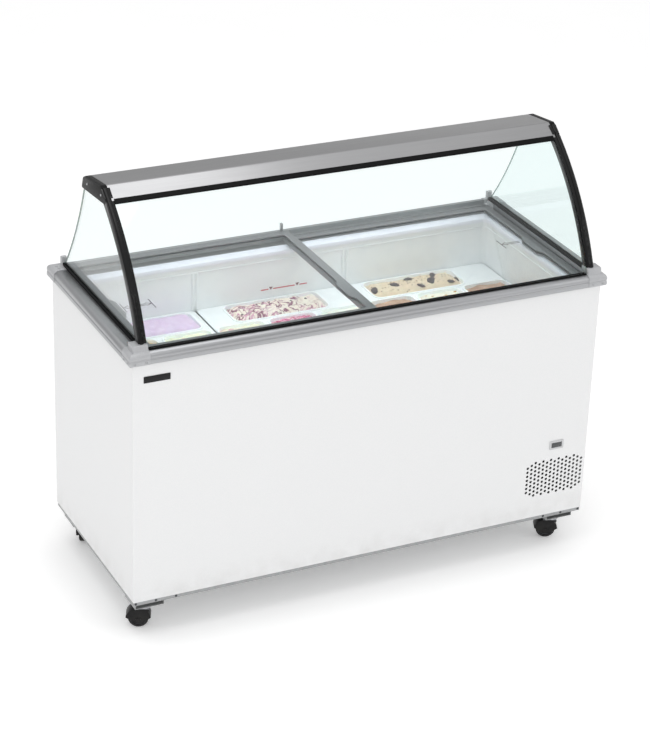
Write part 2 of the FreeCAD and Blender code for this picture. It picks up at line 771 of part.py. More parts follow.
def control_plate():
    """Plate on the service side, with the knob's shaft and the switch's housing and pivot pin."""
    axis_z = CONTROL_Z + CONTROL_AXIS
    x0 = CONTROL_X - CONTROL_HALF_W
    x1 = CONTROL_X + CONTROL_HALF_W
    z0 = axis_z - CONTROL_HALF_H
    z1 = axis_z + CONTROL_HALF_H
    outline = [(x0, z0, 5.0), (x1, z0, 5.0), (x1, z1, 5.0), (x0, z1, 5.0)]
    plate = prism(outline, "y", HALF_D, HALF_D + PLATE_T)
    shaft = rod(SHAFT_R, 7.0, (KNOB_X, HALF_D + 1, axis_z), (0, 1, 0))
    housing = switch_space(14.0, 19.0, -18.0, 0.0)
    slot = switch_space(10.0, 16.0, -16.0, 5.0)
    pin = rod(PIN_R, 24.0, (ROCKER_X - 12, HALF_D - PIVOT_IN, axis_z), (1, 0, 0))
    return joined([plate, shaft, housing]).cut(slot).fuse(pin).removeSplitter()


def thermostat_knob():
    axis_z = CONTROL_Z + CONTROL_AXIS
    start = HALF_D + PLATE_T + 0.3
    outline = [(0, 0), (16, 0), (16, 3, 1.0), (13, 4.5), (12, 8.5, 1.5), (0, 8.5)]
    body = turned(outline, (KNOB_X, start, axis_z), (0, 1, 0))
    pointer = block((KNOB_X - 1.5, start + 3, axis_z), (KNOB_X + 1.5, start + 9.2, axis_z + 14))
    bore = rod(SHAFT_R + RUNNING_GAP, 6.0, (KNOB_X, start - 1, axis_z), (0, 1, 0))
    return body.fuse(pointer).cut(bore).removeSplitter()


def power_rocker():
    """Two-position switch button on its pivot pin, resting tipped to one side."""
    y = HALF_D - PIVOT_IN
    z = CONTROL_Z + CONTROL_AXIS
    outline = [(y, z - 13), (y + 8, z - 13), (y + 6.5, z), (y + 8, z + 13),
               (y, z + 13), (y - 5, z + 5), (y - 5, z - 5)]
    button = prism(outline, "x", ROCKER_X - 9.5, ROCKER_X + 9.5)
    button.rotate(vec(ROCKER_X, y, z), vec(1, 0, 0), ROCKER_TILT)
    return button.cut(rod(PIN_R + RUNNING_GAP, 30.0, (ROCKER_X - 15, y, z), (1, 0, 0)))


def cable_gland():
    """Strain relief of the mains lead: nut inside, hexagon outside, and the bore through both."""
    y = HALF_D
    body = rod(8.0, 25.0, (GLAND_X, y - 14, GLAND_Z), (0, 1, 0))
    inner = rod(11.0, 5.0, (GLAND_X, y - SHEET - 5, GLAND_Z), (0, 1, 0))
    corners = []
    for index in range(6):
        angle = math.radians(60 * index)
        corners.append((GLAND_X + 12 * math.cos(angle), GLAND_Z + 12 * math.sin(angle)))
    hexagon = prism(corners, "y", y, y + 7)
    bore = rod(4.0, 40.0, (GLAND_X, y - 20, GLAND_Z), (0, 1, 0))
    return joined([body, inner, hexagon]).cut(bore)


# ---- refrigeration ----

COMPRESSOR = (620.0, 130.0)
COMP_BASE = 140.0
FAN_X = 610.0
FAN_Z = 235.0
FAN_Y = -244.0
CORE_HALF_W = 85.0
POT_R = 74.0
THROAT_R = 80.0


def compressor():
    """Hermetic pot with its weld flange, relay box, mounting plate and tube stubs."""
    x, y = COMPRESSOR
    outline = [(0, 0), (POT_R - 8, 0, 18.0), (POT_R, 62), (POT_R, 150, 52.0), (0, 158)]
    pot = turned(outline, (x, y, COMP_BASE + 3))
    flange = rod(POT_R + 4, 4.0, (x, y, COMP_BASE + 66))
    plate = rounded_block(96.0, 76.0, COMP_BASE, COMP_BASE + 4, 12.0, (x, y))
    relay = block((x - 100, y - 34, COMP_BASE + 30), (x - 60, y + 34, COMP_BASE + 100))
    stubs = [rod(4.0, 30.0, (x + dx, y - 40, COMP_BASE + 140)) for dx in (40, -40)]
    return joined([pot, flange, plate, relay] + stubs)


def compressor_feet():
    x, y = COMPRESSOR
    outline = [(0, 0), (13, 0), (13, 8), (9, 11), (13, 14), (13, 26), (0, 26)]
    places = [(x + dx, y + dy, TRAY_Z + 2) for dx in (-80, 80) for dy in (-60, 60)]
    return group(turned(outline, place) for place in places)


def condenser():
    """Finned block with the return bends of its tubes."""
    core = block((FAN_X - CORE_HALF_W, -302.0, 140.0), (FAN_X + CORE_HALF_W, -266.0, 330.0))
    bends = []
    for row in range(4):
        z = 171.0 + row * 44.0
        for x in (FAN_X - CORE_HALF_W, FAN_X + CORE_HALF_W):
            bends.append(Part.makeTorus(11.0, 4.0, vec(x, -284.0, z), vec(0, 1, 0)))
    return joined([core] + bends)


def fan_shroud():
    """Plate with the round opening, the motor and the arms that hold it."""
    plate = block((FAN_X - 88, -266.0, 132.0), (FAN_X + 88, -258.0, 338.0))
    collar = rod(THROAT_R + 4, 28.0, (FAN_X, -260.0, FAN_Z), (0, 1, 0))
    throat = rod(THROAT_R, 60.0, (FAN_X, -280.0, FAN_Z), (0, 1, 0))
    motor = rod(28.0, 34.0, (FAN_X, -226.0, FAN_Z), (0, 1, 0))
    shaft = rod(SHAFT_R, 26.0, (FAN_X, -250.0, FAN_Z), (0, 1, 0))
    arms = []
    for index in range(3):
        arm = block((FAN_X - 6, -224.0, FAN_Z + 20), (FAN_X + 6, -220.0, FAN_Z + 90))
        post = block((FAN_X - 6, -262.0, FAN_Z + 82), (FAN_X + 6, -220.0, FAN_Z + 90))
        arm = arm.fuse(post)
        arm.rotate(vec(FAN_X, 0, FAN_Z), vec(0, 1, 0), 120.0 * index)
        arms.append(arm)
    return joined([plate.fuse(collar).cut(throat), motor, shaft] + arms)


def condenser_fan():
    hub = rod(20.0, 18.0, (FAN_X, FAN_Y - 8, FAN_Z), (0, 1, 0))
    blades = []
    for index in range(5):
        blade = block((FAN_X - 20, FAN_Y - 1, FAN_Z + 15), (FAN_X + 20, FAN_Y + 1, FAN_Z + 74))
        blade.rotate(vec(FAN_X, FAN_Y, FAN_Z), vec(0, 0, 1), 20.0)
        blade.rotate(vec(FAN_X, FAN_Y, FAN_Z), vec(0, 1, 0), 72.0 * index)
        blades.append(blade)
    bore = rod(SHAFT_R + RUNNING_GAP, 40.0, (FAN_X, FAN_Y - 20, FAN_Z), (0, 1, 0))
    return joined([hub] + blades).cut(bore)


def refrigerant_pipes():
    """Discharge, suction and liquid lines, and the filter drier."""
    x, y = COMPRESSOR
    top = COMP_BASE + 170
    discharge = pipe([(x + 40, y - 40, top), (x + 40, y - 40, top + 40), (x + 70, y - 40, top + 40),
                      (x + 70, -284, top + 40), (x + 70, -284, 330.0)], 3.0, 8.0)
    suction = pipe([(x - 40, y - 40, top), (x - 40, y - 40, top + 60), (COMP_X0, y - 40, top + 60)],
                   4.0, 14.0)
    drier = turned([(0, 0), (4, 0), (4, 10), (11, 22, 4.0), (11, 90, 4.0), (4, 102), (4, 112), (0, 112)],
                   (500.0, -180.0, 180.0))
    liquid = pipe([(500.0, -180.0, 292.0), (500.0, -180.0, 330.0), (COMP_X0, -180.0, 330.0)], 2.5, 9.0)
    return group([discharge, suction, drier.fuse(liquid)])


# ---- casters ----

def caster_brackets():
    """Pressed steel channels between the base tray and the caster plates."""
    brackets = []
    for _, side_x, side_y, _ in CASTERS:
        x = side_x * CASTER_X
        y = side_y * CASTER_Y
        outer = block((x - 45, y - 40, 84.0), (x + 45, y + 40, TRAY_Z))
        slot = block((x - 42.5, y - 50, 86.5), (x + 42.5, y + 50, TRAY_Z - 2.5))
        brackets.append(outer.cut(slot))
    return group(brackets)


def caster_plates():
    """Top plate and ball race of each caster, with the kingpin's bore."""
    plates = []
    for _, side_x, side_y, _ in CASTERS:
        x = side_x * CASTER_X
        y = side_y * CASTER_Y
        plate = rounded_block(36.0, 30.0, 80.5, 84.0, 6.0, (x, y))
        race = turned([(0, 0), (17, 0), (20, 3), (20, 8.5), (0, 8.5)], (x, y, 72.4))
        bore = rod(KINGPIN_R + RUNNING_GAP, 8.0, (x, y, 72.0))
        plates.append(plate.fuse(race).cut(bore).removeSplitter())
    return group(plates)


def placed_caster(solid, side_x, side_y, swivel):
    """Move a caster piece from its own frame, trailing along +X, to its corner."""
    solid.rotate(vec(0, 0, 0), vec(0, 0, 1), swivel)
    solid.translate(vec(side_x * CASTER_X, side_y * CASTER_Y, 0))
    return solid


def caster_fork(side_x, side_y, swivel):
    """Hooded fork with its swivel ring, kingpin and axle."""
    hood = rod(37.0, 41.0, (TRAIL, -20.5, WHEEL_R), (0, 1, 0))
    inside = rod(33.0, 35.0, (TRAIL, -17.5, WHEEL_R), (0, 1, 0))
    shell = hood.cut(inside).common(block((-80, -80, WHEEL_R + 6), (120, 80, 66.0)))
    cheeks = []
    for y in (-20.5, 17.5):
        outline = [(TRAIL - 36, WHEEL_R + 6), (TRAIL + 36, WHEEL_R + 6),
                   (TRAIL + 10, WHEEL_R - 11, 9.0), (TRAIL - 10, WHEEL_R - 11, 9.0)]
        cheeks.append(prism(outline, "y", y, y + 3))
    ring = turned([(0, 0), (19, 0), (22, 2), (22, 5), (19, 6), (0, 6)], (0, 0, 66.0))
    neck = block((-14, -20.5, 60.0), (TRAIL + 8, 20.5, 66.0)).cut(inside)
    kingpin = rod(KINGPIN_R, 14.0, (0, 0, 66.0))
    kingpin = kingpin.common(block((-10, -10, 60), (10, 10, 79.5)))
    axle = rod(AXLE_R, 46.0, (TRAIL, -23.0, WHEEL_R), (0, 1, 0))
    heads = [rod(7.0, 3.0, (TRAIL, y, WHEEL_R), (0, 1, 0)) for y in (-23.5, 20.5)]
    solid = joined([shell, neck, ring, kingpin, axle] + cheeks + heads)
    return placed_caster(solid, side_x, side_y, swivel)


def caster_wheel(side_x, side_y, swivel):
    half = WHEEL_W / 2
    outline = [(0, -half - 2), (9, -half - 2), (9, -half + 3), (21, -half + 3), (22, -half),
               (WHEEL_R, -half, 5.0), (WHEEL_R, half, 5.0), (22, half), (21, half - 3),
               (9, half - 3), (9, half + 2), (0, half + 2)]
    wheel = turned(outline, (TRAIL, 0, WHEEL_R), (0, 1, 0))
    bore = rod(AXLE_R + RUNNING_GAP, 60.0, (TRAIL, -30.0, WHEEL_R), (0, 1, 0))
    return placed_caster(wheel.cut(bore), side_x, side_y, swivel)


# ---- every sub-part ----

def all_parts():
    left_frame, left_pane = left_lid()
    right_frame, right_pane = right_lid()
    parts = {
        "front_panel": front_panel(),
        "left_side_panel": left_side_panel(),
        "right_side_panel": mirrored_x(left_side_panel()),
        "rear_panel": rear_panel(),
        "base_tray": base_tray(),
        "base_screws": base_screws(),
        "caster_brackets": caster_brackets(),
        "caster_plates": caster_plates(),
        "foam_insulation": foam_insulation(),
        "tank_liner": tank_liner(),
        "breaker_collar": breaker_collar(),
        "evaporator_coil": evaporator_coil(),
        "tray_rails": tray_rails(),
        "pan_trays": pan_trays(),
        "ice_cream_pans": ice_cream_pans(),
        "ice_cream": ice_cream(),
        "rim_front": rim_front(),
        "rim_rear": rim_rear(),
        "rim_left": rim_left(),
        "rim_right": rim_right(),
        "corner_front_left": front_corner(-1),
        "corner_front_right": front_corner(1),
        "corner_rear_left": rear_corner(-1),
        "corner_rear_right": rear_corner(1),
        "trim_screws": trim_screws(),
        "canopy_top": canopy_top(),
        "canopy_cap_left": mirrored_x(canopy_cap_right()),
        "canopy_cap_right": canopy_cap_right(),
        "strut_left": mirrored_x(strut_right()),
        "strut_right": strut_right(),
        "front_glass": front_glass(),
        "side_glass_left": mirrored_x(side_glass_right()),
        "side_glass_right": side_glass_right(),
        "glass_gaskets": glass_gaskets(),
        "canopy_lamp": canopy_lamp(),
        "lid_left_frame": left_frame,
        "lid_left_glass": left_pane,
        "lid_right_frame": right_frame,
        "lid_right_glass": right_pane,
        "badge_plate": badge_plate(),
        "thermometer_bezel": thermometer_bezel(),
        "thermometer_display": thermometer_display(),
        "control_plate": control_plate(),
        "thermostat_knob": thermostat_knob(),
        "power_rocker": power_rocker(),
        "cable_gland": cable_gland(),
        "compressor": compressor(),
        "compressor_feet": compressor_feet(),
        "condenser": condenser(),
        "fan_shroud": fan_shroud(),
        "condenser_fan": condenser_fan(),
        "refrigerant_pipes": refrigerant_pipes(),
    }
    for name, side_x, side_y, swivel in CASTERS:
        parts["caster_fork_" + name] = caster_fork(side_x, side_y, swivel)
        parts["caster_wheel_" + name] = caster_wheel(side_x, side_y, swivel)
    return parts


def main():
    os.makedirs("parts", exist_ok=True)
    for name, shape in all_parts().items():
        if not shape.isValid():
            print("not valid:", name)
        print(name, len(shape.Solids), round(shape.Volume))
        shape.exportStep(os.path.join("parts", name + ".step"))


main()
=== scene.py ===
"""Looks of an ice cream dipping cabinet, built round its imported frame. Metres."""

import json
import math

import bmesh
import bpy
from mathutils import Matrix, Vector, noise


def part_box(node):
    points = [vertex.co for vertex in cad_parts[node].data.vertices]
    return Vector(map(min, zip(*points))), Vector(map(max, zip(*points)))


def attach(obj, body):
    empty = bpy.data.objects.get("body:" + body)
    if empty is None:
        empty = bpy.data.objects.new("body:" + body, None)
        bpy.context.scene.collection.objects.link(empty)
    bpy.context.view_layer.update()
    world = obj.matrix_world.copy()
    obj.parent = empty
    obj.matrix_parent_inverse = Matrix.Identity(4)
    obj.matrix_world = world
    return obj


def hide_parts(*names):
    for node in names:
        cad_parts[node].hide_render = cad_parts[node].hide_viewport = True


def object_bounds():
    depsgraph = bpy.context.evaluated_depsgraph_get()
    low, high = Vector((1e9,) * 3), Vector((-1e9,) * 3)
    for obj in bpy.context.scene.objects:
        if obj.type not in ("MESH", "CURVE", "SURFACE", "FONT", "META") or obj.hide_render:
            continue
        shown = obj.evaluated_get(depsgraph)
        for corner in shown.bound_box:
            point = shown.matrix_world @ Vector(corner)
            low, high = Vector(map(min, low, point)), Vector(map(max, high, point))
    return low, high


MM = 0.001
MERGE = 0.01 * MM

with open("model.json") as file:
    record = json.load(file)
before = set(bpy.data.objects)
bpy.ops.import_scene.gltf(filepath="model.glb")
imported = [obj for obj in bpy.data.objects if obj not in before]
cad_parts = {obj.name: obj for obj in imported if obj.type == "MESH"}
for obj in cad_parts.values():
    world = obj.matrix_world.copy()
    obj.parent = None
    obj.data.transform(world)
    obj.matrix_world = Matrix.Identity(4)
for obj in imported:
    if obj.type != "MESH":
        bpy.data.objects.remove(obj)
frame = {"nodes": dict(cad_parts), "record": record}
nodes = frame["nodes"]
cad_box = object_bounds()
SLOT_OF = {part["node"]: part["material_slot"] for part in frame["record"]["subparts"]}
BODY_OF = {}
for body_name, members in frame["record"]["behaviour"]["bodies"].items():
    for member in members:
        BODY_OF[member] = body_name


# ---- node helpers ----

def shade(red, green, blue):
    """Linear colour from the 0 to 255 values of a paint chart."""
    linear = []
    for value in (red, green, blue):
        share = value / 255
        linear.append(((share + 0.055) / 1.055) ** 2.4 if share > 0.04 else share / 12.92)
    return (*linear, 1.0)


def add(tree, kind, sockets=None, **settings):
    """New node with its settings, constants and links."""
    node = tree.nodes.new(kind)
    for key, value in settings.items():
        setattr(node, key, value)
    for key, value in (sockets or {}).items():
        if isinstance(value, bpy.types.NodeSocket):
            tree.links.new(value, node.inputs[key])
        else:
            node.inputs[key].default_value = value
    return node


def calc(tree, operation, first, second=0.0, clamp=False):
    return add(tree, "ShaderNodeMath", {0: first, 1: second}, operation=operation, use_clamp=clamp).outputs[0]


def blended(tree, factor, first, second):
    """Colour between two colours."""
    mix = add(tree, "ShaderNodeMix", {0: factor, 6: first, 7: second}, data_type="RGBA")
    return mix.outputs[2]


def remapped(tree, value, low, high, to_low=0.0, to_high=1.0):
    places = {"Value": value, "From Min": low, "From Max": high, "To Min": to_low, "To Max": to_high}
    return add(tree, "ShaderNodeMapRange", places, clamp=True).outputs[0]


def new_group(name, inputs, outputs, kind="ShaderNodeTree"):
    """Empty node group with named sockets; returns the tree and its two end nodes."""
    tree = bpy.data.node_groups.new(name, kind)
    for label, socket_kind, value in inputs:
        socket = tree.interface.new_socket(label, in_out="INPUT", socket_type=socket_kind)
        if value is not None:
            socket.default_value = value
    for label, socket_kind in outputs:
        tree.interface.new_socket(label, in_out="OUTPUT", socket_type=socket_kind)
    return tree, tree.nodes.new("NodeGroupInput"), tree.nodes.new("NodeGroupOutput")


COLOUR = "NodeSocketColor"
NUMBER = "NodeSocketFloat"
VECTOR = "NodeSocketVector"
WHITE = (1.0, 1.0, 1.0, 1.0)


def object_place(tree, stretch):
    """Object coordinates with each axis multiplied by the stretch."""
    place = add(tree, "ShaderNodeTexCoord").outputs["Object"]
    return add(tree, "ShaderNodeVectorMath", {0: place, 1: stretch}, operation="MULTIPLY").outputs[0]


def make_grain_group():
    """Fine mottling or brushed lines: colour, roughness and height that vary over the surface."""
    inputs = [("Colour", COLOUR, WHITE), ("Second", COLOUR, WHITE), ("Stretch", VECTOR, (1.0, 1.0, 1.0)),
              ("Size", NUMBER, 50.0), ("Amount", NUMBER, 0.5), ("Roughness", NUMBER, 0.5),
              ("Spread", NUMBER, 0.1)]
    outputs = [("Colour", COLOUR), ("Roughness", NUMBER), ("Height", NUMBER)]
    tree, start, end = new_group("surface_grain", inputs, outputs)
    place = object_place(tree, start.outputs["Stretch"])
    cloud = add(tree, "ShaderNodeTexNoise", {"Vector": place, "Scale": start.outputs["Size"], "Detail": 3.0})
    level = remapped(tree, cloud.outputs[0], 0.3, 0.7)
    share = calc(tree, "MULTIPLY", level, start.outputs["Amount"])
    colour = blended(tree, share, start.outputs["Colour"], start.outputs["Second"])
    tree.links.new(colour, end.inputs["Colour"])
    swing = calc(tree, "MULTIPLY", calc(tree, "SUBTRACT", level, 0.5), start.outputs["Spread"])
    tree.links.new(calc(tree, "ADD", swing, start.outputs["Roughness"], clamp=True), end.inputs["Roughness"])
    tree.links.new(level, end.inputs["Height"])
    return tree


def make_wear_group():
    """Mask of the rubbed outer edges."""
    inputs = [("Width", NUMBER, 0.001), ("Amount", NUMBER, 1.0)]
    tree, start, end = new_group("edge_wear", inputs, [("Mask", NUMBER)])
    rounded = add(tree, "ShaderNodeBevel", {"Radius": start.outputs["Width"]}, samples=4).outputs[0]
    real = add(tree, "ShaderNodeNewGeometry").outputs["Normal"]
    match = add(tree, "ShaderNodeVectorMath", {0: rounded, 1: real}, operation="DOT_PRODUCT").outputs["Value"]
    turn = remapped(tree, match, 0.995, 0.8)
    place = object_place(tree, (1.0, 1.0, 1.0))
    cloud = add(tree, "ShaderNodeTexNoise", {"Vector": place, "Scale": 70.0, "Detail": 4.0}).outputs[0]
    patches = remapped(tree, cloud, 0.45, 0.62)
    worn = calc(tree, "MULTIPLY", turn, patches)
    rubbed = calc(tree, "MULTIPLY", worn, start.outputs["Amount"], clamp=True)
    tree.links.new(rubbed, end.inputs["Mask"])
    return tree


def make_dust_group():
    """Mask of the floor dust that gathers on what is close to the ground."""
    inputs = [("Top", NUMBER, 0.2), ("Fade", NUMBER, 0.2), ("Amount", NUMBER, 0.5)]
    tree, start, end = new_group("floor_dust", inputs, [("Mask", NUMBER)])
    place = object_place(tree, (1.0, 1.0, 1.0))
    height = add(tree, "ShaderNodeSeparateXYZ", {0: place}).outputs["Z"]
    below = calc(tree, "SUBTRACT", start.outputs["Top"], height)
    depth = calc(tree, "DIVIDE", below, start.outputs["Fade"], clamp=True)
    cloud = add(tree, "ShaderNodeTexNoise", {"Vector": place, "Scale": 24.0, "Detail": 5.0}).outputs[0]
    patches = remapped(tree, cloud, 0.35, 0.7)
    settled = calc(tree, "MULTIPLY", depth, patches)
    mask = calc(tree, "MULTIPLY", settled, start.outputs["Amount"], clamp=True)
    tree.links.new(mask, end.inputs["Mask"])
    return tree


def make_ripple_group():
    """Mask of the sauce folded through ice cream: broken, winding bands."""
    inputs = [("Shift", VECTOR, (0.0, 0.0, 0.0)), ("Size", NUMBER, 20.0), ("Swirl", NUMBER, 2.0),
              ("Width", NUMBER, 0.06), ("Cover", NUMBER, 0.5)]
    tree, start, end = new_group("sauce_ripple", inputs, [("Mask", NUMBER)])
    place = object_place(tree, (1.0, 1.0, 1.0))
    place = add(tree, "ShaderNodeVectorMath", {0: place, 1: start.outputs["Shift"]}).outputs[0]
    cloud = add(tree, "ShaderNodeTexNoise", {"Vector": place, "Scale": start.outputs["Size"], "Detail": 2.5,
                                             "Distortion": start.outputs["Swirl"]}).outputs[0]
    away = calc(tree, "ABSOLUTE", calc(tree, "SUBTRACT", cloud, 0.5))
    band = calc(tree, "SUBTRACT", 1.0, calc(tree, "DIVIDE", away, start.outputs["Width"]), clamp=True)
    band = remapped(tree, band, 0.1, 0.6)
    wide = calc(tree, "MULTIPLY", start.outputs["Size"], 0.45)
    gate = add(tree, "ShaderNodeTexNoise", {"Vector": place, "Scale": wide, "Detail": 2.0}).outputs[0]
    low = calc(tree, "SUBTRACT", 1.0, start.outputs["Cover"])
    past = calc(tree, "SUBTRACT", gate, calc(tree, "MULTIPLY", low, 0.8))
    gate = calc(tree, "MULTIPLY", past, 9.0, clamp=True)
    tree.links.new(calc(tree, "MULTIPLY", band, gate), end.inputs["Mask"])
    return tree


GRAIN = make_grain_group()
WEAR = make_wear_group()
DUST = make_dust_group()
RIPPLE = make_ripple_group()


def blank_material(name):
    material = bpy.data.materials.new(name)
    material.use_nodes = True
    material.node_tree.nodes.clear()
    tree = material.node_tree
    return material, tree, add(tree, "ShaderNodeOutputMaterial")


def group_node(tree, group, sockets):
    return add(tree, "ShaderNodeGroup", sockets, node_tree=group)


def finish(name, colour, second=None, size=60.0, amount=0.5, rough=0.4, spread=0.08, stretch=(1.0, 1.0, 1.0),
           bump=0.0, metal=0.0, wear=None, dust=None, ripple=None, constants=None):
    """Material of one finish. After its two colours come the grain's size and amount, the roughness and
    how far that varies. wear is (colour, width, amount), dust is (top, fade, amount) and each ripple is
    (colour, shift, size, swirl, width, cover); bump is the relief's depth in metres."""
    material, tree, output = blank_material(name)
    grain = group_node(tree, GRAIN, {
        "Colour": colour, "Second": second or colour, "Stretch": stretch, "Size": size, "Amount": amount,
        "Roughness": rough, "Spread": spread})
    surface = grain.outputs["Colour"]
    for sauce, shift, scale, swirl, width, cover in ripple or ():
        mask = group_node(tree, RIPPLE, {"Shift": shift, "Size": scale, "Swirl": swirl, "Width": width,
                                         "Cover": cover}).outputs[0]
        surface = blended(tree, mask, surface, sauce)
    if wear:
        mask = group_node(tree, WEAR, {"Width": wear[1], "Amount": wear[2]}).outputs[0]
        surface = blended(tree, mask, surface, wear[0])
    if dust:
        mask = group_node(tree, DUST, {"Top": dust[0], "Fade": dust[1], "Amount": dust[2]}).outputs[0]
        surface = blended(tree, mask, surface, DUST_COLOUR)
    sockets = {"Base Color": surface, "Roughness": grain.outputs["Roughness"], "Metallic": metal}
    if bump:
        relief = add(tree, "ShaderNodeBump", {
            "Strength": 1.0, "Distance": bump, "Height": grain.outputs["Height"]})
        sockets["Normal"] = relief.outputs[0]
    sockets.update(constants or {})
    shader = add(tree, "ShaderNodeBsdfPrincipled", sockets)
    tree.links.new(shader.outputs[0], output.inputs["Surface"])
    return material


def glazing(name, tint, gloss):
    """Clear glass: see-through with a reflection that grows towards a grazing view."""
    material, tree, output = blank_material(name)
    clear = add(tree, "ShaderNodeBsdfTransparent", {"Color": tint})
    mirror = add(tree, "ShaderNodeBsdfGlossy", {"Color": (gloss, gloss, gloss, 1.0), "Roughness": 0.02})
    facing = add(tree, "ShaderNodeLayerWeight", {"Blend": 0.5}).outputs["Facing"]
    steep = calc(tree, "POWER", facing, 4.0)
    share = add(tree, "ShaderNodeMath", {0: steep, 1: 0.55, 2: 0.035}, operation="MULTIPLY_ADD")
    mixed = add(tree, "ShaderNodeMixShader", {0: share.outputs[0], 1: clear.outputs[0], 2: mirror.outputs[0]})
    tree.links.new(mixed.outputs[0], output.inputs["Surface"])
    return material


# ---- finishes ----

DUST_COLOUR = shade(150, 145, 136)
BARE_METAL = shade(190, 190, 192)
GREY_SCUFF = shade(95, 95, 98)
DEEP_BLACK = {"Specular IOR Level": 0.14}
ALONG_X = (5.0, 900.0, 900.0)

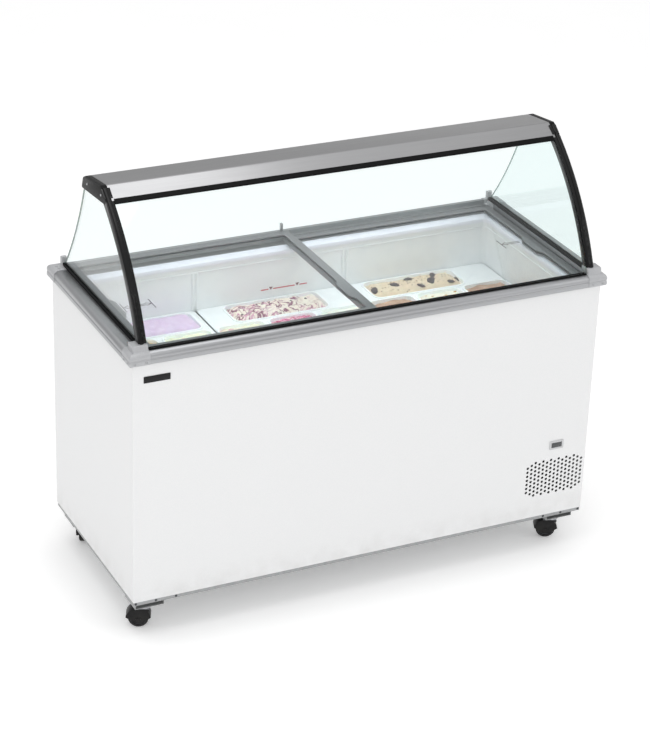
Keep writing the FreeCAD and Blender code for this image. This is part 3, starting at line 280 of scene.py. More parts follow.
FINISHES = {
    "white_paint": finish("white_paint", shade(234, 234, 234), shade(229, 230, 231), 420.0, 0.8, 0.34, 0.06,
                          bump=0.02 * MM, dust=(0.2, 0.09, 0.18), constants={"Coat Weight": 0.25}),
    "tray_steel": finish("tray_steel", shade(166, 168, 169), shade(148, 150, 152), 90.0, 0.6, 0.45, 0.2,
                         metal=0.5, dust=(0.13, 0.03, 0.3)),
    "screw_steel": finish("screw_steel", shade(190, 191, 193), shade(150, 151, 154), 300.0, 0.5, 0.3, 0.15,
                          metal=1.0),
    "foam": finish("foam", shade(226, 208, 160), shade(205, 182, 128), 160.0, 0.9, 0.9, 0.1, bump=0.6 * MM),
    "liner_paint": finish("liner_paint", shade(240, 240, 241), shade(231, 232, 235), 28.0, 0.7, 0.38, 0.18,
                          bump=0.05 * MM, constants={"Coat Weight": 0.2}),
    "collar_plastic": finish("collar_plastic", shade(238, 237, 246), shade(228, 228, 241), 45.0, 0.6, 0.35,
                             0.1, bump=0.03 * MM),
    "copper": finish("copper", shade(205, 128, 92), shade(140, 86, 62), 80.0, 0.7, 0.3, 0.25, metal=1.0),
    "rail_steel": finish("rail_steel", shade(200, 201, 203), shade(170, 171, 174), 60.0, 0.6, 0.4, 0.15,
                         ALONG_X, metal=0.9),
    "tray_plastic": finish("tray_plastic", shade(240, 241, 243), shade(229, 231, 234), 35.0, 0.6, 0.42, 0.12,
                           bump=0.04 * MM),
    "pan_plastic": finish("pan_plastic", shade(246, 247, 248), shade(236, 238, 241), 50.0, 0.5, 0.3, 0.1,
                          bump=0.03 * MM, constants={"Subsurface Weight": 0.1, "Subsurface Scale": 0.004}),
    "rim_aluminium": finish("rim_aluminium", shade(172, 173, 175), shade(162, 163, 166), 1.0, 0.5, 0.36, 0.08,
                            ALONG_X, bump=0.015 * MM, metal=0.85, wear=(BARE_METAL, 0.8 * MM, 0.5)),
    "corner_grey": finish("corner_grey", shade(182, 183, 185), shade(172, 173, 176), 240.0, 0.6, 0.42, 0.1,
                          bump=0.03 * MM, metal=0.2, wear=(shade(205, 206, 208), 0.8 * MM, 0.6)),
    "hood_metal": finish("hood_metal", shade(172, 172, 173), shade(161, 161, 163), 1.0, 0.6, 0.34, 0.1,
                         ALONG_X, bump=0.01 * MM, metal=1.0),
    "black_plastic": finish("black_plastic", shade(7, 7, 8), shade(14, 14, 15), 260.0, 0.6, 0.4, 0.15,
                            bump=0.03 * MM, wear=(GREY_SCUFF, 0.6 * MM, 0.25), constants=DEEP_BLACK),
    "strut_black": finish("strut_black", shade(6, 6, 7), shade(13, 13, 14), 1.0, 0.7, 0.24, 0.14,
                          (60.0, 60.0, 8.0), wear=(GREY_SCUFF, 0.6 * MM, 0.2),
                          constants={"Specular IOR Level": 0.3}),
    "gasket_rubber": finish("gasket_rubber", shade(5, 5, 6), shade(11, 11, 12), 200.0, 0.6, 0.6, 0.15,
                            bump=0.05 * MM, constants=DEEP_BLACK),
    "lid_frame_grey": finish("lid_frame_grey", shade(134, 135, 137), shade(119, 120, 123), 150.0, 0.6, 0.4,
                             0.14, bump=0.03 * MM, metal=0.35, wear=(shade(190, 191, 193), 0.8 * MM, 0.6)),
    "badge_black": finish("badge_black", shade(14, 14, 15), shade(24, 24, 26), 300.0, 0.5, 0.24, 0.1,
                          wear=(GREY_SCUFF, 0.4 * MM, 0.3), constants={"Specular IOR Level": 0.3}),
    "bezel_grey": finish("bezel_grey", shade(206, 207, 208), shade(192, 193, 195), 260.0, 0.6, 0.4, 0.12,
                         bump=0.02 * MM, wear=(shade(205, 206, 208), 0.5 * MM, 0.5)),
    "display_dark": finish("display_dark", shade(26, 30, 34), shade(40, 46, 50), 90.0, 0.6, 0.12, 0.06,
                           constants={"Coat Weight": 1.0}),
    "control_grey": finish("control_grey", shade(92, 94, 97), shade(78, 80, 83), 320.0, 0.6, 0.45, 0.14,
                           bump=0.04 * MM, wear=(shade(150, 151, 153), 0.6 * MM, 0.5)),
    "compressor_black": finish("compressor_black", shade(24, 24, 26), shade(44, 44, 47), 70.0, 0.6, 0.42, 0.2,
                               bump=0.06 * MM, dust=(0.36, 0.24, 0.35), wear=(GREY_SCUFF, 1.2 * MM, 0.7)),
    # condenser_fins: painted shade. The fins are coloured much darker than bare fins so the compartment
    # behind the grille holes reads dark. The floor dust on them is real dirt.
    "condenser_fins": finish("condenser_fins", shade(24, 24, 26), shade(58, 58, 60), 1.0, 0.9, 0.5, 0.2,
                             (700.0, 3.0, 3.0), bump=0.8 * MM, metal=0.3, dust=(0.34, 0.2, 0.1)),
    "shroud_steel": finish("shroud_steel", shade(168, 170, 172), shade(140, 142, 145), 60.0, 0.7, 0.42, 0.2,
                           metal=0.8, dust=(0.34, 0.2, 0.3)),
    "fan_plastic": finish("fan_plastic", shade(46, 47, 50), shade(60, 61, 64), 120.0, 0.6, 0.45, 0.15,
                          dust=(0.34, 0.2, 0.35)),
    "caster_black": finish("caster_black", shade(10, 10, 11), shade(19, 19, 20), 180.0, 0.6, 0.36, 0.16,
                           bump=0.04 * MM, wear=(GREY_SCUFF, 0.5 * MM, 0.4), dust=(0.07, 0.08, 0.12),
                           constants={"Specular IOR Level": 0.25}),
    "caster_tread": finish("caster_tread", shade(20, 20, 21), shade(33, 33, 34), 160.0, 0.7, 0.6, 0.2,
                           bump=0.08 * MM, dust=(0.05, 0.06, 0.2), constants=DEEP_BLACK),
    "lamp_diffuser": finish("lamp_diffuser", shade(238, 240, 240), shade(228, 230, 231), 60.0, 0.6, 0.45, 0.1,
                            bump=0.02 * MM),
    "guard_glass": glazing("guard_glass", (0.962, 0.992, 0.99, 1.0), 0.9),
    "lid_glass": glazing("lid_glass", (0.975, 0.985, 0.985, 1.0), 0.85),
}
ZINC = finish("zinc_plate", shade(196, 197, 200), shade(160, 162, 167), 120.0, 0.7, 0.32, 0.2, metal=0.9,
              dust=(0.09, 0.06, 0.2))
DARK_SCREW = finish("dark_screw", shade(84, 85, 88), shade(58, 59, 62), 300.0, 0.6, 0.4, 0.15, metal=0.6)
GLASS_EDGE = finish("glass_edge", shade(142, 164, 158), shade(112, 136, 129), 200.0, 0.7, 0.18, 0.1,
                    constants={"Coat Weight": 0.5})
HUB_BLACK = finish("wheel_hub", shade(34, 34, 37), shade(48, 48, 52), 200.0, 0.6, 0.4, 0.14, bump=0.03 * MM,
                   wear=(GREY_SCUFF, 0.5 * MM, 0.5))
MARK_INK = finish("mark_ink", shade(52, 52, 58), shade(68, 68, 74), 300.0, 0.5, 0.5, 0.1)
LOAD_RED = finish("load_red", shade(196, 52, 66), shade(214, 84, 96), 260.0, 0.5, 0.45, 0.1)
LOAD_DARK = finish("load_dark", shade(112, 30, 52), shade(90, 26, 44), 260.0, 0.5, 0.45, 0.1)


# ---- mesh helpers ----

FLAT_ENOUGH = math.radians(0.6)
SHARP_EDGE = math.radians(40)
ROUNDING_STEPS = 2
LUMPY_SMOOTHING = 60.0


def put(name, mesh, body, stands_for=(), materials=()):
    """A finished piece: its mesh is already in place, and its object stays at the origin."""
    piece = bpy.data.objects.new(name, mesh)
    bpy.context.scene.collection.objects.link(piece)
    if materials:
        mesh.materials.clear()
        for material in materials:
            mesh.materials.append(material)
    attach(piece, body)
    if stands_for:
        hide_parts(*stands_for)
    return piece


def smooth_by_angle(mesh, degrees=35.0):
    mesh.shade_smooth()
    mesh.set_sharp_from_angle(angle=math.radians(degrees))


def merged(node):
    """A bmesh copy of a node with its doubles merged and its flat faces whole."""
    work = bmesh.new()
    work.from_mesh(nodes[node].data)
    bmesh.ops.remove_doubles(work, verts=work.verts, dist=MERGE)
    bmesh.ops.dissolve_limit(work, angle_limit=FLAT_ENOUGH, verts=work.verts, edges=work.edges)
    return work


def evaluated_mesh(holder):
    depsgraph = bpy.context.evaluated_depsgraph_get()
    return bpy.data.meshes.new_from_object(holder.evaluated_get(depsgraph), depsgraph=depsgraph)


def holder_of(mesh):
    holder = bpy.data.objects.new("work_piece", mesh)
    bpy.context.scene.collection.objects.link(holder)
    return holder


def softened(node, width, choose=None, materials=None):
    """The node with its sharp edges rounded. choose picks a material index for each face."""
    work = merged(node)
    mesh = bpy.data.meshes.new(node + "_soft")
    work.to_mesh(mesh)
    work.free()
    if "custom_normal" in mesh.attributes:
        mesh.attributes.remove(mesh.attributes["custom_normal"])
    if width:
        holder = holder_of(mesh)
        bevel = holder.modifiers.new("rounding", "BEVEL")
        bevel.width = width
        bevel.segments = ROUNDING_STEPS
        bevel.limit_method = "ANGLE"
        bevel.angle_limit = SHARP_EDGE
        bevel.use_clamp_overlap = False
        bevel.miter_outer = "MITER_ARC"
        mesh = evaluated_mesh(holder)
        bpy.data.objects.remove(holder)
    smooth_by_angle(mesh)
    piece = put(node + "_finished", mesh, BODY_OF[node], [node],
                materials or [FINISHES[SLOT_OF[node]]])
    if choose:
        for face in mesh.polygons:
            face.material_index = choose(face)
    return piece


def islands(node):
    """Boxes (low, high) of a node's separate solids, left to right."""
    work = bmesh.new()
    work.from_mesh(nodes[node].data)
    bmesh.ops.remove_doubles(work, verts=work.verts, dist=MERGE)
    seen = set()
    boxes = []
    for vert in work.verts:
        if vert in seen:
            continue
        seen.add(vert)
        waiting = [vert]
        low, high = vert.co.copy(), vert.co.copy()
        while waiting:
            here = waiting.pop()
            low = Vector(map(min, low, here.co))
            high = Vector(map(max, high, here.co))
            for edge in here.link_edges:
                other = edge.other_vert(here)
                if other not in seen:
                    seen.add(other)
                    waiting.append(other)
        boxes.append((low, high))
    work.free()
    return sorted(boxes, key=lambda box: box[0].x + box[1].x)


def run_tree(tree, base, settings):
    """Plain mesh that a geometry tree makes from a base mesh."""
    holder = holder_of(base)
    modifier = holder.modifiers.new(tree.name, "NODES")
    modifier.node_group = tree
    for item in tree.interface.items_tree:
        if item.in_out == "INPUT" and item.name in settings:
            modifier[item.identifier] = settings[item.name]
    mesh = evaluated_mesh(holder)
    bpy.data.objects.remove(holder)
    return mesh


def painted_out(tree, start, end, placed):
    """Ends a geometry tree: its instances made real, in the tree's material."""
    real = add(tree, "GeometryNodeRealizeInstances", {0: placed.outputs[0]})
    painted = add(tree, "GeometryNodeSetMaterial", {
        0: real.outputs[0], "Material": start.outputs["Material"]})
    tree.links.new(painted.outputs[0], end.inputs[0])
    return tree


GEOMETRY = "NodeSocketGeometry"
MATERIAL = "NodeSocketMaterial"
WHOLE = "NodeSocketInt"


# ---- screws ----

def make_screw_tree():
    """A cross-recessed pan head on every point, turned to the point's facing direction."""
    inputs = [("Geometry", GEOMETRY, None), ("Recess Width", NUMBER, 0.2), ("Recess Length", NUMBER, 1.15),
              ("Material", MATERIAL, None)]
    tree, start, end = new_group("screw_heads", inputs, [("Geometry", GEOMETRY)], "GeometryNodeTree")
    ball = add(tree, "GeometryNodeMeshUVSphere", {"Segments": 28, "Rings": 14, "Radius": 1.0})
    cuts = []
    for turned in (False, True):
        long_side, short_side = start.outputs["Recess Length"], start.outputs["Recess Width"]
        sides = (short_side, long_side) if turned else (long_side, short_side)
        size = add(tree, "ShaderNodeCombineXYZ", {0: sides[0], 1: sides[1], 2: 0.9})
        bar = add(tree, "GeometryNodeMeshCube", {"Size": size.outputs[0]})
        cuts.append(add(tree, "GeometryNodeTransform", {0: bar.outputs[0], "Translation": (0.0, 0.0, 1.0)}))
    head = tree.nodes.new("GeometryNodeMeshBoolean")
    head.operation = "DIFFERENCE"
    tree.links.new(ball.outputs[0], head.inputs[0])
    for cut in cuts:
        tree.links.new(cut.outputs[0], head.inputs[1])
    facing = add(tree, "GeometryNodeInputNamedAttribute", {"Name": "facing"}, data_type="FLOAT_VECTOR")
    spread = add(tree, "GeometryNodeInputNamedAttribute", {"Name": "spread"}, data_type="FLOAT_VECTOR")
    turn = add(tree, "FunctionNodeAlignRotationToVector", {"Vector": facing.outputs[0]}, axis="Z")
    spin = add(tree, "FunctionNodeRandomValue", {2: 0.0, 3: 1.5, "Seed": 4}, data_type="FLOAT")
    about = add(tree, "ShaderNodeCombineXYZ", {2: spin.outputs[1]})
    turn_own = add(tree, "FunctionNodeEulerToRotation", {0: about.outputs[0]})
    rotation = add(tree, "FunctionNodeRotateRotation", {0: turn.outputs[0], 1: turn_own.outputs[0]},
                   rotation_space="LOCAL")
    placed = add(tree, "GeometryNodeInstanceOnPoints", {
        "Points": start.outputs["Geometry"], "Instance": head.outputs[0], "Rotation": rotation.outputs[0],
        "Scale": spread.outputs[0]})
    return painted_out(tree, start, end, placed)


def screws(node, tree, material):
    """Recessed heads where the node has its plain ones."""
    boxes = islands(node)
    middle = (cad_box[0] + cad_box[1]) / 2
    points, facings, spreads = [], [], []
    for low, high in boxes:
        size = high - low
        axis = min(range(3), key=lambda index: size[index])
        centre = (low + high) / 2
        sign = 1.0 if axis == 2 or centre[axis] > middle[axis] else -1.0
        facing = Vector((0.0, 0.0, 0.0))
        facing[axis] = sign
        base = centre.copy()
        base[axis] = low[axis] if sign > 0 else high[axis]
        radius = max(size) / 2
        points.append(base)
        facings.append(facing)
        spreads.append(Vector((radius, radius, size[axis])))
    mesh = bpy.data.meshes.new(node + "_points")
    mesh.from_pydata(points, [], [])
    for name, values in (("facing", facings), ("spread", spreads)):
        attribute = mesh.attributes.new(name, "FLOAT_VECTOR", "POINT")
        for index, value in enumerate(values):
            attribute.data[index].vector = value
    heads = run_tree(tree, mesh, {"Material": material})
    smooth_by_angle(heads)
    return put(node + "_heads", heads, BODY_OF[node], [node], [material])


SCREW_TREE = make_screw_tree()
screws("trim_screws", SCREW_TREE, FINISHES["screw_steel"])
screws("base_screws", SCREW_TREE, DARK_SCREW)


# ---- metal, plastic and glass of the cabinet ----

ROUNDINGS = {
    0.0: ["tank_liner", "front_panel", "left_side_panel", "right_side_panel", "rear_panel", "evaporator_coil",
          "refrigerant_pipes", "compressor", "condenser", "compressor_feet", "tray_rails"],
    0.3: ["base_tray", "thermometer_display", "power_rocker", "condenser_fan", "fan_shroud"],
    0.5: ["canopy_top", "badge_plate", "control_plate", "thermostat_knob", "cable_gland", "pan_trays",
          "ice_cream_pans", "caster_plates", "glass_gaskets"],
    0.8: ["rim_front", "rim_rear", "rim_left", "rim_right", "thermometer_bezel", "breaker_collar",
          "caster_brackets", "lid_left_frame", "lid_right_frame"],
    1.2: ["corner_front_left", "corner_front_right", "corner_rear_left", "corner_rear_right", "strut_left",
          "strut_right", "canopy_lamp"],
    1.8: ["canopy_cap_left", "canopy_cap_right"],
}
for width, names in ROUNDINGS.items():
    for part_name in names:
        softened(part_name, width * MM)

FACES_ALONG = 0.7
PANES = {"front_glass": None, "side_glass_left": "x", "side_glass_right": "x", "lid_left_glass": "z",
         "lid_right_glass": "z"}


def edge_of_pane(axis):
    """Picks the narrow edge faces of a flat pane whose broad faces look along the axis."""
    index = "xyz".index(axis)
    return lambda face: 0 if abs(face.normal[index]) > FACES_ALONG else 1


def edge_of_curved(face):
    """Picks the edge faces at the two ends of the curved pane."""
    return 1 if abs(face.normal.x) > FACES_ALONG else 0


for pane, axis_name in PANES.items():
    chooser = edge_of_pane(axis_name) if axis_name else edge_of_curved
    softened(pane, 0.0, chooser, [FINISHES[SLOT_OF[pane]], GLASS_EDGE])


# ---- casters ----

RING_FOOT = 66.0 * MM
TREAD_REACH = 24.5 * MM
CORNERS = ("front_left", "front_right", "rear_left", "rear_right")


def is_ring(face):
    """Picks the zinc ring at the top of a fork."""
    return 1 if face.center.z > RING_FOOT - 0.5 * MM else 0


def hub_picker(node):
    low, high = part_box(node)
    middle = (low + high) / 2
    return lambda face: 1 if (face.center - middle).length < TREAD_REACH else 0


for corner in CORNERS:
    softened("caster_fork_" + corner, 0.4 * MM, is_ring, [FINISHES["caster_black"], ZINC])
    wheel = "caster_wheel_" + corner
    softened(wheel, 0.5 * MM, hub_picker(wheel), [FINISHES["caster_tread"], HUB_BLACK])


# ---- printed marks on the lids and the tank wall ----

def bar_on_plane(work, start, end, width, lift, plane):
    """A thin raised bar from start to end on a level ('z') or upright ('y') plane."""
    start, end = Vector(start), Vector(end)
    along = (end - start).normalized()
    out = Vector((0.0, 0.0, 1.0)) if plane == "z" else Vector((0.0, -1.0, 0.0))
    side = along.cross(out) * width / 2
    corners = [start - side, start + side, end + side, end - side]
    prism_on_plane(work, corners, out, lift)


def prism_on_plane(work, corners, out, lift):
    """A flat outline raised off its plane, with its foot sunk into the surface."""
    bottom = [work.verts.new(corner - out * lift / 2) for corner in corners]
    top = [work.verts.new(corner + out * lift) for corner in corners]
    work.faces.new(top)
    work.faces.new(bottom[::-1])
    for index in range(len(corners)):
        after = (index + 1) % len(corners)
        work.faces.new((bottom[index], bottom[after], top[after], top[index]))


def marks_piece(name, work, body, material):
    bmesh.ops.recalc_face_normals(work, faces=work.faces)
    mesh = bpy.data.meshes.new(name)
    work.to_mesh(mesh)
    work.free()
    return put(name, mesh, body, (), [material])


def slide_mark(name, body, x0, x1, y, z, stops):
    """Sign for the sliding way: a double line with arrow heads between end bars."""
    work = bmesh.new()
    line, lift, gap, flare, head, bar = 2.4 * MM, 0.3 * MM, 4.0 * MM, 2.4, 15.0 * MM, 31.0 * MM
    for side in (-1, 1):
        bar_on_plane(work, (x0 + head, y + side * gap, z), (x1 - head, y + side * gap, z), line, lift, "z")
    for index, (x, way) in enumerate(((x0, 1), (x1, -1))):
        if not stops[index]:
            continue
        for side in (-1, 1):
            bar_on_plane(work, (x, y, z), (x + way * head, y + side * flare * gap, z), line, lift, "z")
        bar_on_plane(work, (x - way * line, y - bar, z), (x - way * line, y + bar, z), line, lift, "z")
    return marks_piece(name, work, body, MARK_INK)


left_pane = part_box("lid_left_glass")
right_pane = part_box("lid_right_glass")
LEFT_MARK = (30 * MM, 112 * MM)
LEFT_MARK_Y = -27 * MM
RIGHT_MARK = (90 * MM, 14 * MM)
RIGHT_MARK_Y = 12 * MM
slide_mark("slide_mark_left", "lid_left", left_pane[0].x + LEFT_MARK[0], left_pane[0].x + LEFT_MARK[1],
           LEFT_MARK_Y, left_pane[1].z, (True, True))
slide_mark("slide_mark_right", "lid_right", right_pane[1].x - RIGHT_MARK[0], right_pane[1].x - RIGHT_MARK[1],
           RIGHT_MARK_Y, right_pane[1].z, (True, False))

WALL_Y = 250.5 * MM
LINE_Y = WALL_Y + 1.2 * MM
LINE_Z = 755 * MM
LINE_WIDTH = 3.4 * MM
LINE_LIFT = 0.4 * MM
LINE_RUNS = ((-101, -76), (-60, 12), (28, 53))
ARROWS_AT = (-68 * MM, 20 * MM)
ARROW_HALF = 6 * MM
ARROW_ABOVE = 7 * MM
ARROW_BELOW = 3 * MM
ARROW_LIFT = 0.5 * MM
red = bmesh.new()
for left, right in LINE_RUNS:
    bar_on_plane(red, (left * MM, LINE_Y, LINE_Z), (right * MM, LINE_Y, LINE_Z), LINE_WIDTH, LINE_LIFT, "y")
marks_piece("load_line", red, "cabinet", LOAD_RED)
arrows = bmesh.new()
for x in ARROWS_AT:
    tip = [Vector((x - ARROW_HALF, LINE_Y, LINE_Z + ARROW_ABOVE)), Vector((x, LINE_Y, LINE_Z - ARROW_BELOW)),
           Vector((x + ARROW_HALF, LINE_Y, LINE_Z + ARROW_ABOVE))]
    prism_on_plane(arrows, tip, Vector((0.0, -1.0, 0.0)), ARROW_LIFT)
marks_piece("load_arrows", arrows, "cabinet", LOAD_DARK)


# ---- ice cream ----

FROZEN = {"Subsurface Weight": 0.15, "Subsurface Scale": 0.006}
FROZEN_SPREAD = 0.12


def flavour(name, colour, second, size=70.0, amount=0.8, ripple=None, bump=0.5, rough=0.58):
    return finish(name, shade(*colour), shade(*second), size, amount, rough, FROZEN_SPREAD, bump=bump * MM,
                  ripple=ripple, constants=FROZEN)


LILAC = flavour("lilac_cream", (226, 205, 228), (208, 178, 214), 46.0)
PALE_YELLOW = flavour("vanilla_cream", (240, 240, 216), (226, 226, 190), 60.0)
ORANGE = flavour("caramel_cream", (232, 206, 160), (214, 172, 110), 44.0,
                 ripple=[(shade(206, 156, 88), (3.0, 1.0, 0.0), 22.0, 1.6, 0.05, 0.55)])
BERRY = flavour("berry_ripple", (240, 230, 214), (232, 214, 206), 90.0, ripple=[
    (shade(206, 150, 172), (1.3, 4.0, 0.0), 22.0, 1.6, 0.06, 0.52),
    (shade(126, 44, 86), (0.0, 2.0, 0.0), 22.0, 1.8, 0.05, 0.52)])
BERRY_YELLOW = flavour("berry_custard", (240, 236, 206), (228, 214, 190), 80.0, ripple=[
    (shade(206, 140, 160), (7.3, 4.0, 0.0), 24.0, 1.6, 0.05, 0.5),
    (shade(134, 48, 84), (5.0, 2.0, 0.0), 26.0, 1.8, 0.035, 0.5)])
HOT_PINK = flavour("raspberry_ripple", (240, 220, 222), (228, 190, 200), 80.0, ripple=[
    (shade(226, 92, 150), (2.3, 9.0, 0.0), 28.0, 2.0, 0.12, 0.66),
    (shade(176, 34, 96), (6.0, 3.0, 0.0), 32.0, 2.2, 0.055, 0.6)])
CREAM = flavour("plain_cream", (240, 238, 228), (228, 226, 212), 60.0)
CHOCOLATE = flavour("chocolate_cream", (190, 150, 124), (158, 118, 94), 50.0)
COOKIE = flavour("cookie_cream", (228, 208, 182), (212, 188, 158), 60.0)
NUT = flavour("nut_cream", (238, 236, 222), (224, 214, 190), 70.0)
COOKIE_BIT = flavour("cookie_bit", (70, 48, 50), (44, 30, 34), 220.0, bump=0.3, rough=0.7)
CRUMB = flavour("crumb", (96, 64, 50), (60, 40, 34), 300.0, bump=0.2, rough=0.75)
NUT_BIT = flavour("nut_bit", (214, 170, 96), (180, 130, 66), 200.0, bump=0.2, rough=0.5)
BERRY_BIT = flavour("dark_berry", (56, 32, 44), (36, 20, 30), 200.0, bump=0.2, rough=0.35)

FRONT_FLAVOURS = ((ORANGE, "caramel"), (PALE_YELLOW, "vanilla"), (BERRY_YELLOW, "berry_custard"),
                  (HOT_PINK, "raspberry"), (CREAM, "plain"), (CHOCOLATE, "chocolate"), (NUT, "nut"),
                  (CHOCOLATE, "dark_chocolate"))
REAR_FLAVOURS = ((LILAC, "lilac"), (BERRY, "berry"), (COOKIE, "cookie"))
FILL_STEP = 3.2 * MM
FILL_DEPTH = 60 * MM
PAN_CORNER = 21.5 * MM
SHORE_WOBBLE = 0.35
SHORE_LUMPS = 30
DOME_ACROSS = 0.55
DOME_ALONG = 0.45
FOLD_LUMPS = 34
SCOOP_SHARE = 0.6
SCOOP_LINES = (150, 60)
SCOOP_BEND = 5


def edge_distance(x, y, half_x, half_y, corner):
    """How far inside a rounded rectangle a point is."""
    over_x = abs(x) - (half_x - corner)
    over_y = abs(y) - (half_y - corner)
    outside = math.hypot(max(over_x, 0.0), max(over_y, 0.0))
    return corner - outside - min(max(over_x, over_y), 0.0)


def into_corner(x, y, half_x, half_y, corner):
    """Moves a point of the square corner zone into the round corner."""
    over_x = abs(x) - (half_x - corner)
    over_y = abs(y) - (half_y - corner)
    if over_x <= 0 or over_y <= 0:
        return x, y
    share = max(over_x, over_y) / math.hypot(over_x, over_y)
    return (math.copysign(half_x - corner + over_x * share, x),
            math.copysign(half_y - corner + over_y * share, y))


def mound(name, low, high, crown, drop, shore, folds, seed, material):
    """Heaped ice cream in one pan. crown is its rise over the pan's lip at the middle, drop how far its
    edge lies below, shore the width of the slope between them, and folds the height of its scoop marks."""
    half_x, half_y = (high.x - low.x) / 2, (high.y - low.y) / 2
    middle = (low + high) / 2
    columns, rows = round(2 * half_x / FILL_STEP), round(2 * half_y / FILL_STEP)
    shift = Vector((seed * 3.7, seed * 1.9, seed * 0.7))
    work = bmesh.new()
    grid = []
    for row in range(rows + 1):
        line = []
        for column in range(columns + 1):
            x, y = into_corner(half_x * (2 * column / columns - 1), half_y * (2 * row / rows - 1),
                               half_x, half_y, PAN_CORNER)
            inside = edge_distance(x, y, half_x, half_y, PAN_CORNER)
            wobble = SHORE_WOBBLE * shore * noise.noise(Vector((x, y, 0.0)) * SHORE_LUMPS + shift)
            share = min(max((inside + wobble) / shore, 0.0), 1.0)
            rise = share * share * (3 - 2 * share)
            round_x, round_y = x / half_x, y / half_y
            dome = max(0.0, 1 - DOME_ACROSS * round_x * round_x - DOME_ALONG * round_y * round_y)
            spot = Vector((x * FOLD_LUMPS, y * FOLD_LUMPS, 0.0)) + shift
            swirl = noise.fractal(spot, 0.9, 2.1, 4) + SCOOP_SHARE * math.sin(
                (x * SCOOP_LINES[0] + y * SCOOP_LINES[1]) + SCOOP_BEND * noise.noise(spot * 0.5))
            z = high.z - drop + drop * rise + crown * dome * rise + folds * swirl * rise
            line.append(work.verts.new((middle.x + x, middle.y + y, z)))
        grid.append(line)
    for row in range(rows):
        for column in range(columns):
            work.faces.new((grid[row][column], grid[row][column + 1], grid[row + 1][column + 1],
                            grid[row + 1][column]))
    ring = (grid[0][:-1] + [line[-1] for line in grid[:-1]] + grid[-1][:0:-1]
            + [line[0] for line in grid[:0:-1]])
    floor_ring = [work.verts.new((vert.co.x, vert.co.y, high.z - FILL_DEPTH)) for vert in ring]
    for index, vert in enumerate(ring):
        after = (index + 1) % len(ring)
        work.faces.new((vert, floor_ring[index], floor_ring[after], ring[after]))
    work.faces.new(floor_ring[::-1])
    bmesh.ops.recalc_face_normals(work, faces=work.faces)
    mesh = bpy.data.meshes.new(name)
    work.to_mesh(mesh)
    work.free()
    smooth_by_angle(mesh, LUMPY_SMOOTHING)
    return put(name, mesh, "cabinet", ["ice_cream"], [material])


def make_bits_tree():
    """Lumps scattered over the upper side of a heap, half sunk in it."""
    inputs = [("Geometry", GEOMETRY, None), ("Spacing", NUMBER, 0.03), ("Density", NUMBER, 500.0),
              ("Smallest", NUMBER, 0.004), ("Largest", NUMBER, 0.01), ("Long", NUMBER, 1.6),
              ("Flat", NUMBER, 0.5), ("Seed", WHOLE, 1), ("Material", MATERIAL, None)]
    tree, start, end = new_group("scattered_bits", inputs, [("Geometry", GEOMETRY)], "GeometryNodeTree")
    normal = add(tree, "GeometryNodeInputNormal")
    up = add(tree, "ShaderNodeSeparateXYZ", {0: normal.outputs[0]})
    upward = add(tree, "FunctionNodeCompare", {0: up.outputs[2], 1: 0.8}, data_type="FLOAT",
                 operation="GREATER_THAN")
    points = add(tree, "GeometryNodeDistributePointsOnFaces", {
        "Mesh": start.outputs["Geometry"], "Selection": upward.outputs[0],
        "Distance Min": start.outputs["Spacing"], "Density Max": start.outputs["Density"],
        "Seed": start.outputs["Seed"]}, distribute_method="POISSON")
    ball = add(tree, "GeometryNodeMeshIcoSphere", {"Radius": 1.0, "Subdivisions": 2})
    place = add(tree, "GeometryNodeInputPosition")
    lumps = add(tree, "ShaderNodeTexNoise", {"Vector": place.outputs[0], "Scale": 1.3, "Detail": 2.0})
    push = add(tree, "ShaderNodeMath", {0: lumps.outputs[0], 1: 0.5}, operation="SUBTRACT")
    offset = add(tree, "ShaderNodeVectorMath", {0: place.outputs[0], "Scale": push.outputs[0]},
                 operation="SCALE")
    lumpy = add(tree, "GeometryNodeSetPosition", {0: ball.outputs[0], "Offset": offset.outputs[0]})
    shape = add(tree, "ShaderNodeCombineXYZ", {0: start.outputs["Long"], 1: 1.0, 2: start.outputs["Flat"]})
    stretched = add(tree, "GeometryNodeTransform", {0: lumpy.outputs[0], "Scale": shape.outputs[0]})
    turn = add(tree, "FunctionNodeRandomValue", {0: (-0.25, -0.25, 0.0), 1: (0.25, 0.25, 6.28), "Seed": 7},
               data_type="FLOAT_VECTOR")
    size = add(tree, "FunctionNodeRandomValue", {2: start.outputs["Smallest"], 3: start.outputs["Largest"],
                                                 "Seed": 3}, data_type="FLOAT")
    placed = add(tree, "GeometryNodeInstanceOnPoints", {
        "Points": points.outputs[0], "Instance": stretched.outputs[0], "Rotation": turn.outputs[0],
        "Scale": size.outputs[1]})
    return painted_out(tree, start, end, placed)


BITS_TREE = make_bits_tree()


def bits(name, heap, material, spacing, density, smallest, largest, long, flat, seed):
    """Pieces in a heap. The spacing and both sizes are in mm, the density is per square metre."""
    mesh = run_tree(BITS_TREE, heap.data, {
        "Spacing": spacing * MM, "Density": density, "Smallest": smallest * MM, "Largest": largest * MM,
        "Long": long, "Flat": flat, "Seed": seed, "Material": material})
    smooth_by_angle(mesh, LUMPY_SMOOTHING)
    return put(name, mesh, "cabinet", (), [material])


fills = islands("ice_cream")
front_fills = [box for box in fills if box[0].y + box[1].y < 0]
rear_fills = [box for box in fills if box[0].y + box[1].y > 0]
heaps = {}
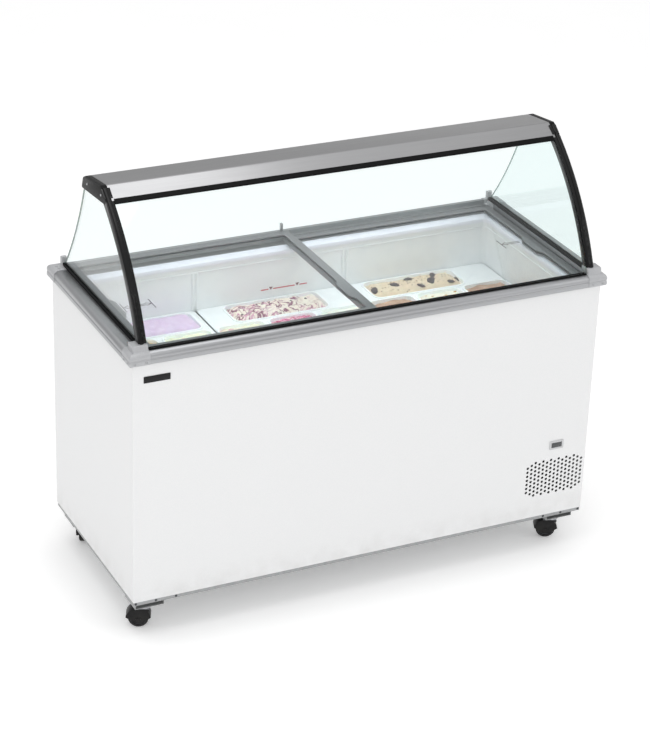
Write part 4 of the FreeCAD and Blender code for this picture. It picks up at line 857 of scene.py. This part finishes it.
# crown, drop, shore and folds of each heap in mm
HEAPS = {"caramel": (6, 12, 26, 1.6), "vanilla": (5, 12, 24, 1.6), "berry_custard": (4, 12, 24, 2.2),
         "raspberry": (5, 12, 24, 2.4), "plain": (8, 12, 26, 1.0), "chocolate": (9, 13, 30, 0.8),
         "nut": (6, 12, 24, 1.2), "dark_chocolate": (9, 13, 30, 0.8), "lilac": (5, 10, 14, 1.8),
         "berry": (5, 12, 22, 2.4), "cookie": (7, 13, 30, 0.8)}
for seed, ((low, high), (material, name)) in enumerate(
        list(zip(front_fills, FRONT_FLAVOURS)) + list(zip(rear_fills, REAR_FLAVOURS))):
    crown, drop, shore, folds = (value * MM for value in HEAPS[name])
    heaps[name] = mound("fill_" + name, low, high, crown, drop, shore, folds, seed + 1, material)

bits("cookie_pieces", heaps["cookie"], COOKIE_BIT, spacing=44.0, density=900.0, smallest=8.0, largest=12.5,
     long=1.7, flat=0.5, seed=5)
bits("cookie_crumbs", heaps["cookie"], CRUMB, spacing=9.0, density=5200.0, smallest=1.2, largest=2.4,
     long=1.2, flat=0.8, seed=2)
bits("nut_pieces", heaps["nut"], NUT_BIT, spacing=20.0, density=1600.0, smallest=2.0, largest=5.0,
     long=1.4, flat=0.6, seed=3)
bits("berry_pieces", heaps["berry"], BERRY_BIT, spacing=40.0, density=500.0, smallest=2.5, largest=4.0,
     long=1.2, flat=0.7, seed=6)


# ---- everything left as it is in the frame ----

shown = [name for name, node in nodes.items() if not node.hide_render]
for name in shown:
    nodes[name].data.materials.clear()
    nodes[name].data.materials.append(FINISHES[SLOT_OF[name]])


# ---- floor, light and camera ----

FLOOR_REACH = 40.0
FLOOR_GLOW = 0.22


def make_floor():
    mesh = bpy.data.meshes.new("floor")
    far = FLOOR_REACH
    mesh.from_pydata([(-far, -far, 0), (far, -far, 0), (far, far, 0), (-far, far, 0)], [], [(0, 1, 2, 3)])
    floor = bpy.data.objects.new("studio_floor", mesh)
    bpy.context.scene.collection.objects.link(floor)
    mesh.materials.append(finish(
        "studio_floor", shade(247, 247, 247), shade(244, 244, 244), 3.0, 0.5, 0.8, 0.05,
        constants={"Emission Color": WHITE, "Emission Strength": FLOOR_GLOW}))


def softbox(name, place, aim, width, height, power):
    """Rectangular lamp that looks at the aim, or straight down without one. power is in watts."""
    light = bpy.data.lights.new(name, "AREA")
    light.shape = "RECTANGLE"
    light.size = width
    light.size_y = height
    light.energy = power
    lamp = bpy.data.objects.new(name, light)
    lamp.location = place
    if aim:
        lamp.rotation_euler = (Vector(aim) - Vector(place)).to_track_quat("-Z", "Y").to_euler()
    bpy.context.scene.collection.objects.link(lamp)
    return lamp


def tank_glow(power):
    """Soft light from below the hood into the tank. It shows in no reflection and not to the camera."""
    lamp = softbox("tank_light", (0.0, 0.03, 1.16), None, 1.2, 0.42, power)
    lamp.data.spread = math.radians(110)
    lamp.visible_camera = False
    lamp.visible_glossy = False


def make_sky(low, high):
    """White backdrop whose light is stronger from overhead than from the horizon."""
    world = bpy.data.worlds.new("studio")
    world.use_nodes = True
    tree = world.node_tree
    back = tree.nodes["Background"]
    place = add(tree, "ShaderNodeTexCoord").outputs["Generated"]
    height = add(tree, "ShaderNodeSeparateXYZ", {0: place}).outputs["Z"]
    dome = remapped(tree, height, 0.25, 0.8, low, high)
    seen = add(tree, "ShaderNodeLightPath").outputs["Is Camera Ray"]
    strength = add(tree, "ShaderNodeMix", {0: seen, 2: dome, 3: 1.0}, data_type="FLOAT")
    tree.links.new(strength.outputs[0], back.inputs["Strength"])
    back.inputs["Color"].default_value = WHITE
    bpy.context.scene.world = world


AZIMUTH = math.radians(-26.41)
ELEVATION = math.radians(26.3)
ROLL = math.radians(2.07)
DISTANCE = 7.13
LENS = 114.48
AIM_Z = 0.6
AIM_LOWERED = 0.0297
FAR_CLIP = 60.0
PANES_IN_A_ROW = 40


def make_camera():
    """Camera that looks down at the cabinet from its front left, rolled a little about its own view."""
    back = Vector((math.sin(AZIMUTH) * math.cos(ELEVATION), -math.cos(AZIMUTH) * math.cos(ELEVATION),
                   math.sin(ELEVATION)))
    level = Vector((math.cos(AZIMUTH), math.sin(AZIMUTH), 0.0))
    upright = back.cross(level)
    right = math.cos(ROLL) * level + math.sin(ROLL) * upright
    up = back.cross(right)
    place = Vector((0.0, 0.0, AIM_Z)) + back * DISTANCE - up * AIM_LOWERED
    camera = bpy.data.objects.new("camera", bpy.data.cameras.new("camera"))
    camera.data.lens = LENS
    camera.data.clip_end = FAR_CLIP
    turn = Matrix((right, up, back)).transposed().to_4x4()
    camera.matrix_world = Matrix.Translation(place) @ turn
    bpy.context.scene.collection.objects.link(camera)
    bpy.context.scene.camera = camera


make_floor()
make_sky(low=0.5, high=0.95)
softbox("key_light", place=(-2.6, -4.6, 3.2), aim=(0.0, 0.0, 0.6), width=3.0, height=2.4, power=38.0)
softbox("fill_light", place=(4.2, -3.0, 2.4), aim=(0.2, 0.0, 0.7), width=2.4, height=2.4, power=20.0)
softbox("overhead_light", place=(-1.0, -0.4, 4.3), aim=(-1.0, -0.4, 0.0), width=3.0, height=2.4, power=30.0)
tank_glow(power=2.2)
make_camera()
scene = bpy.context.scene
scene.view_settings.view_transform = "Standard"
scene.view_settings.look = "None"
scene.cycles.transparent_max_bounces = PANES_IN_A_ROW
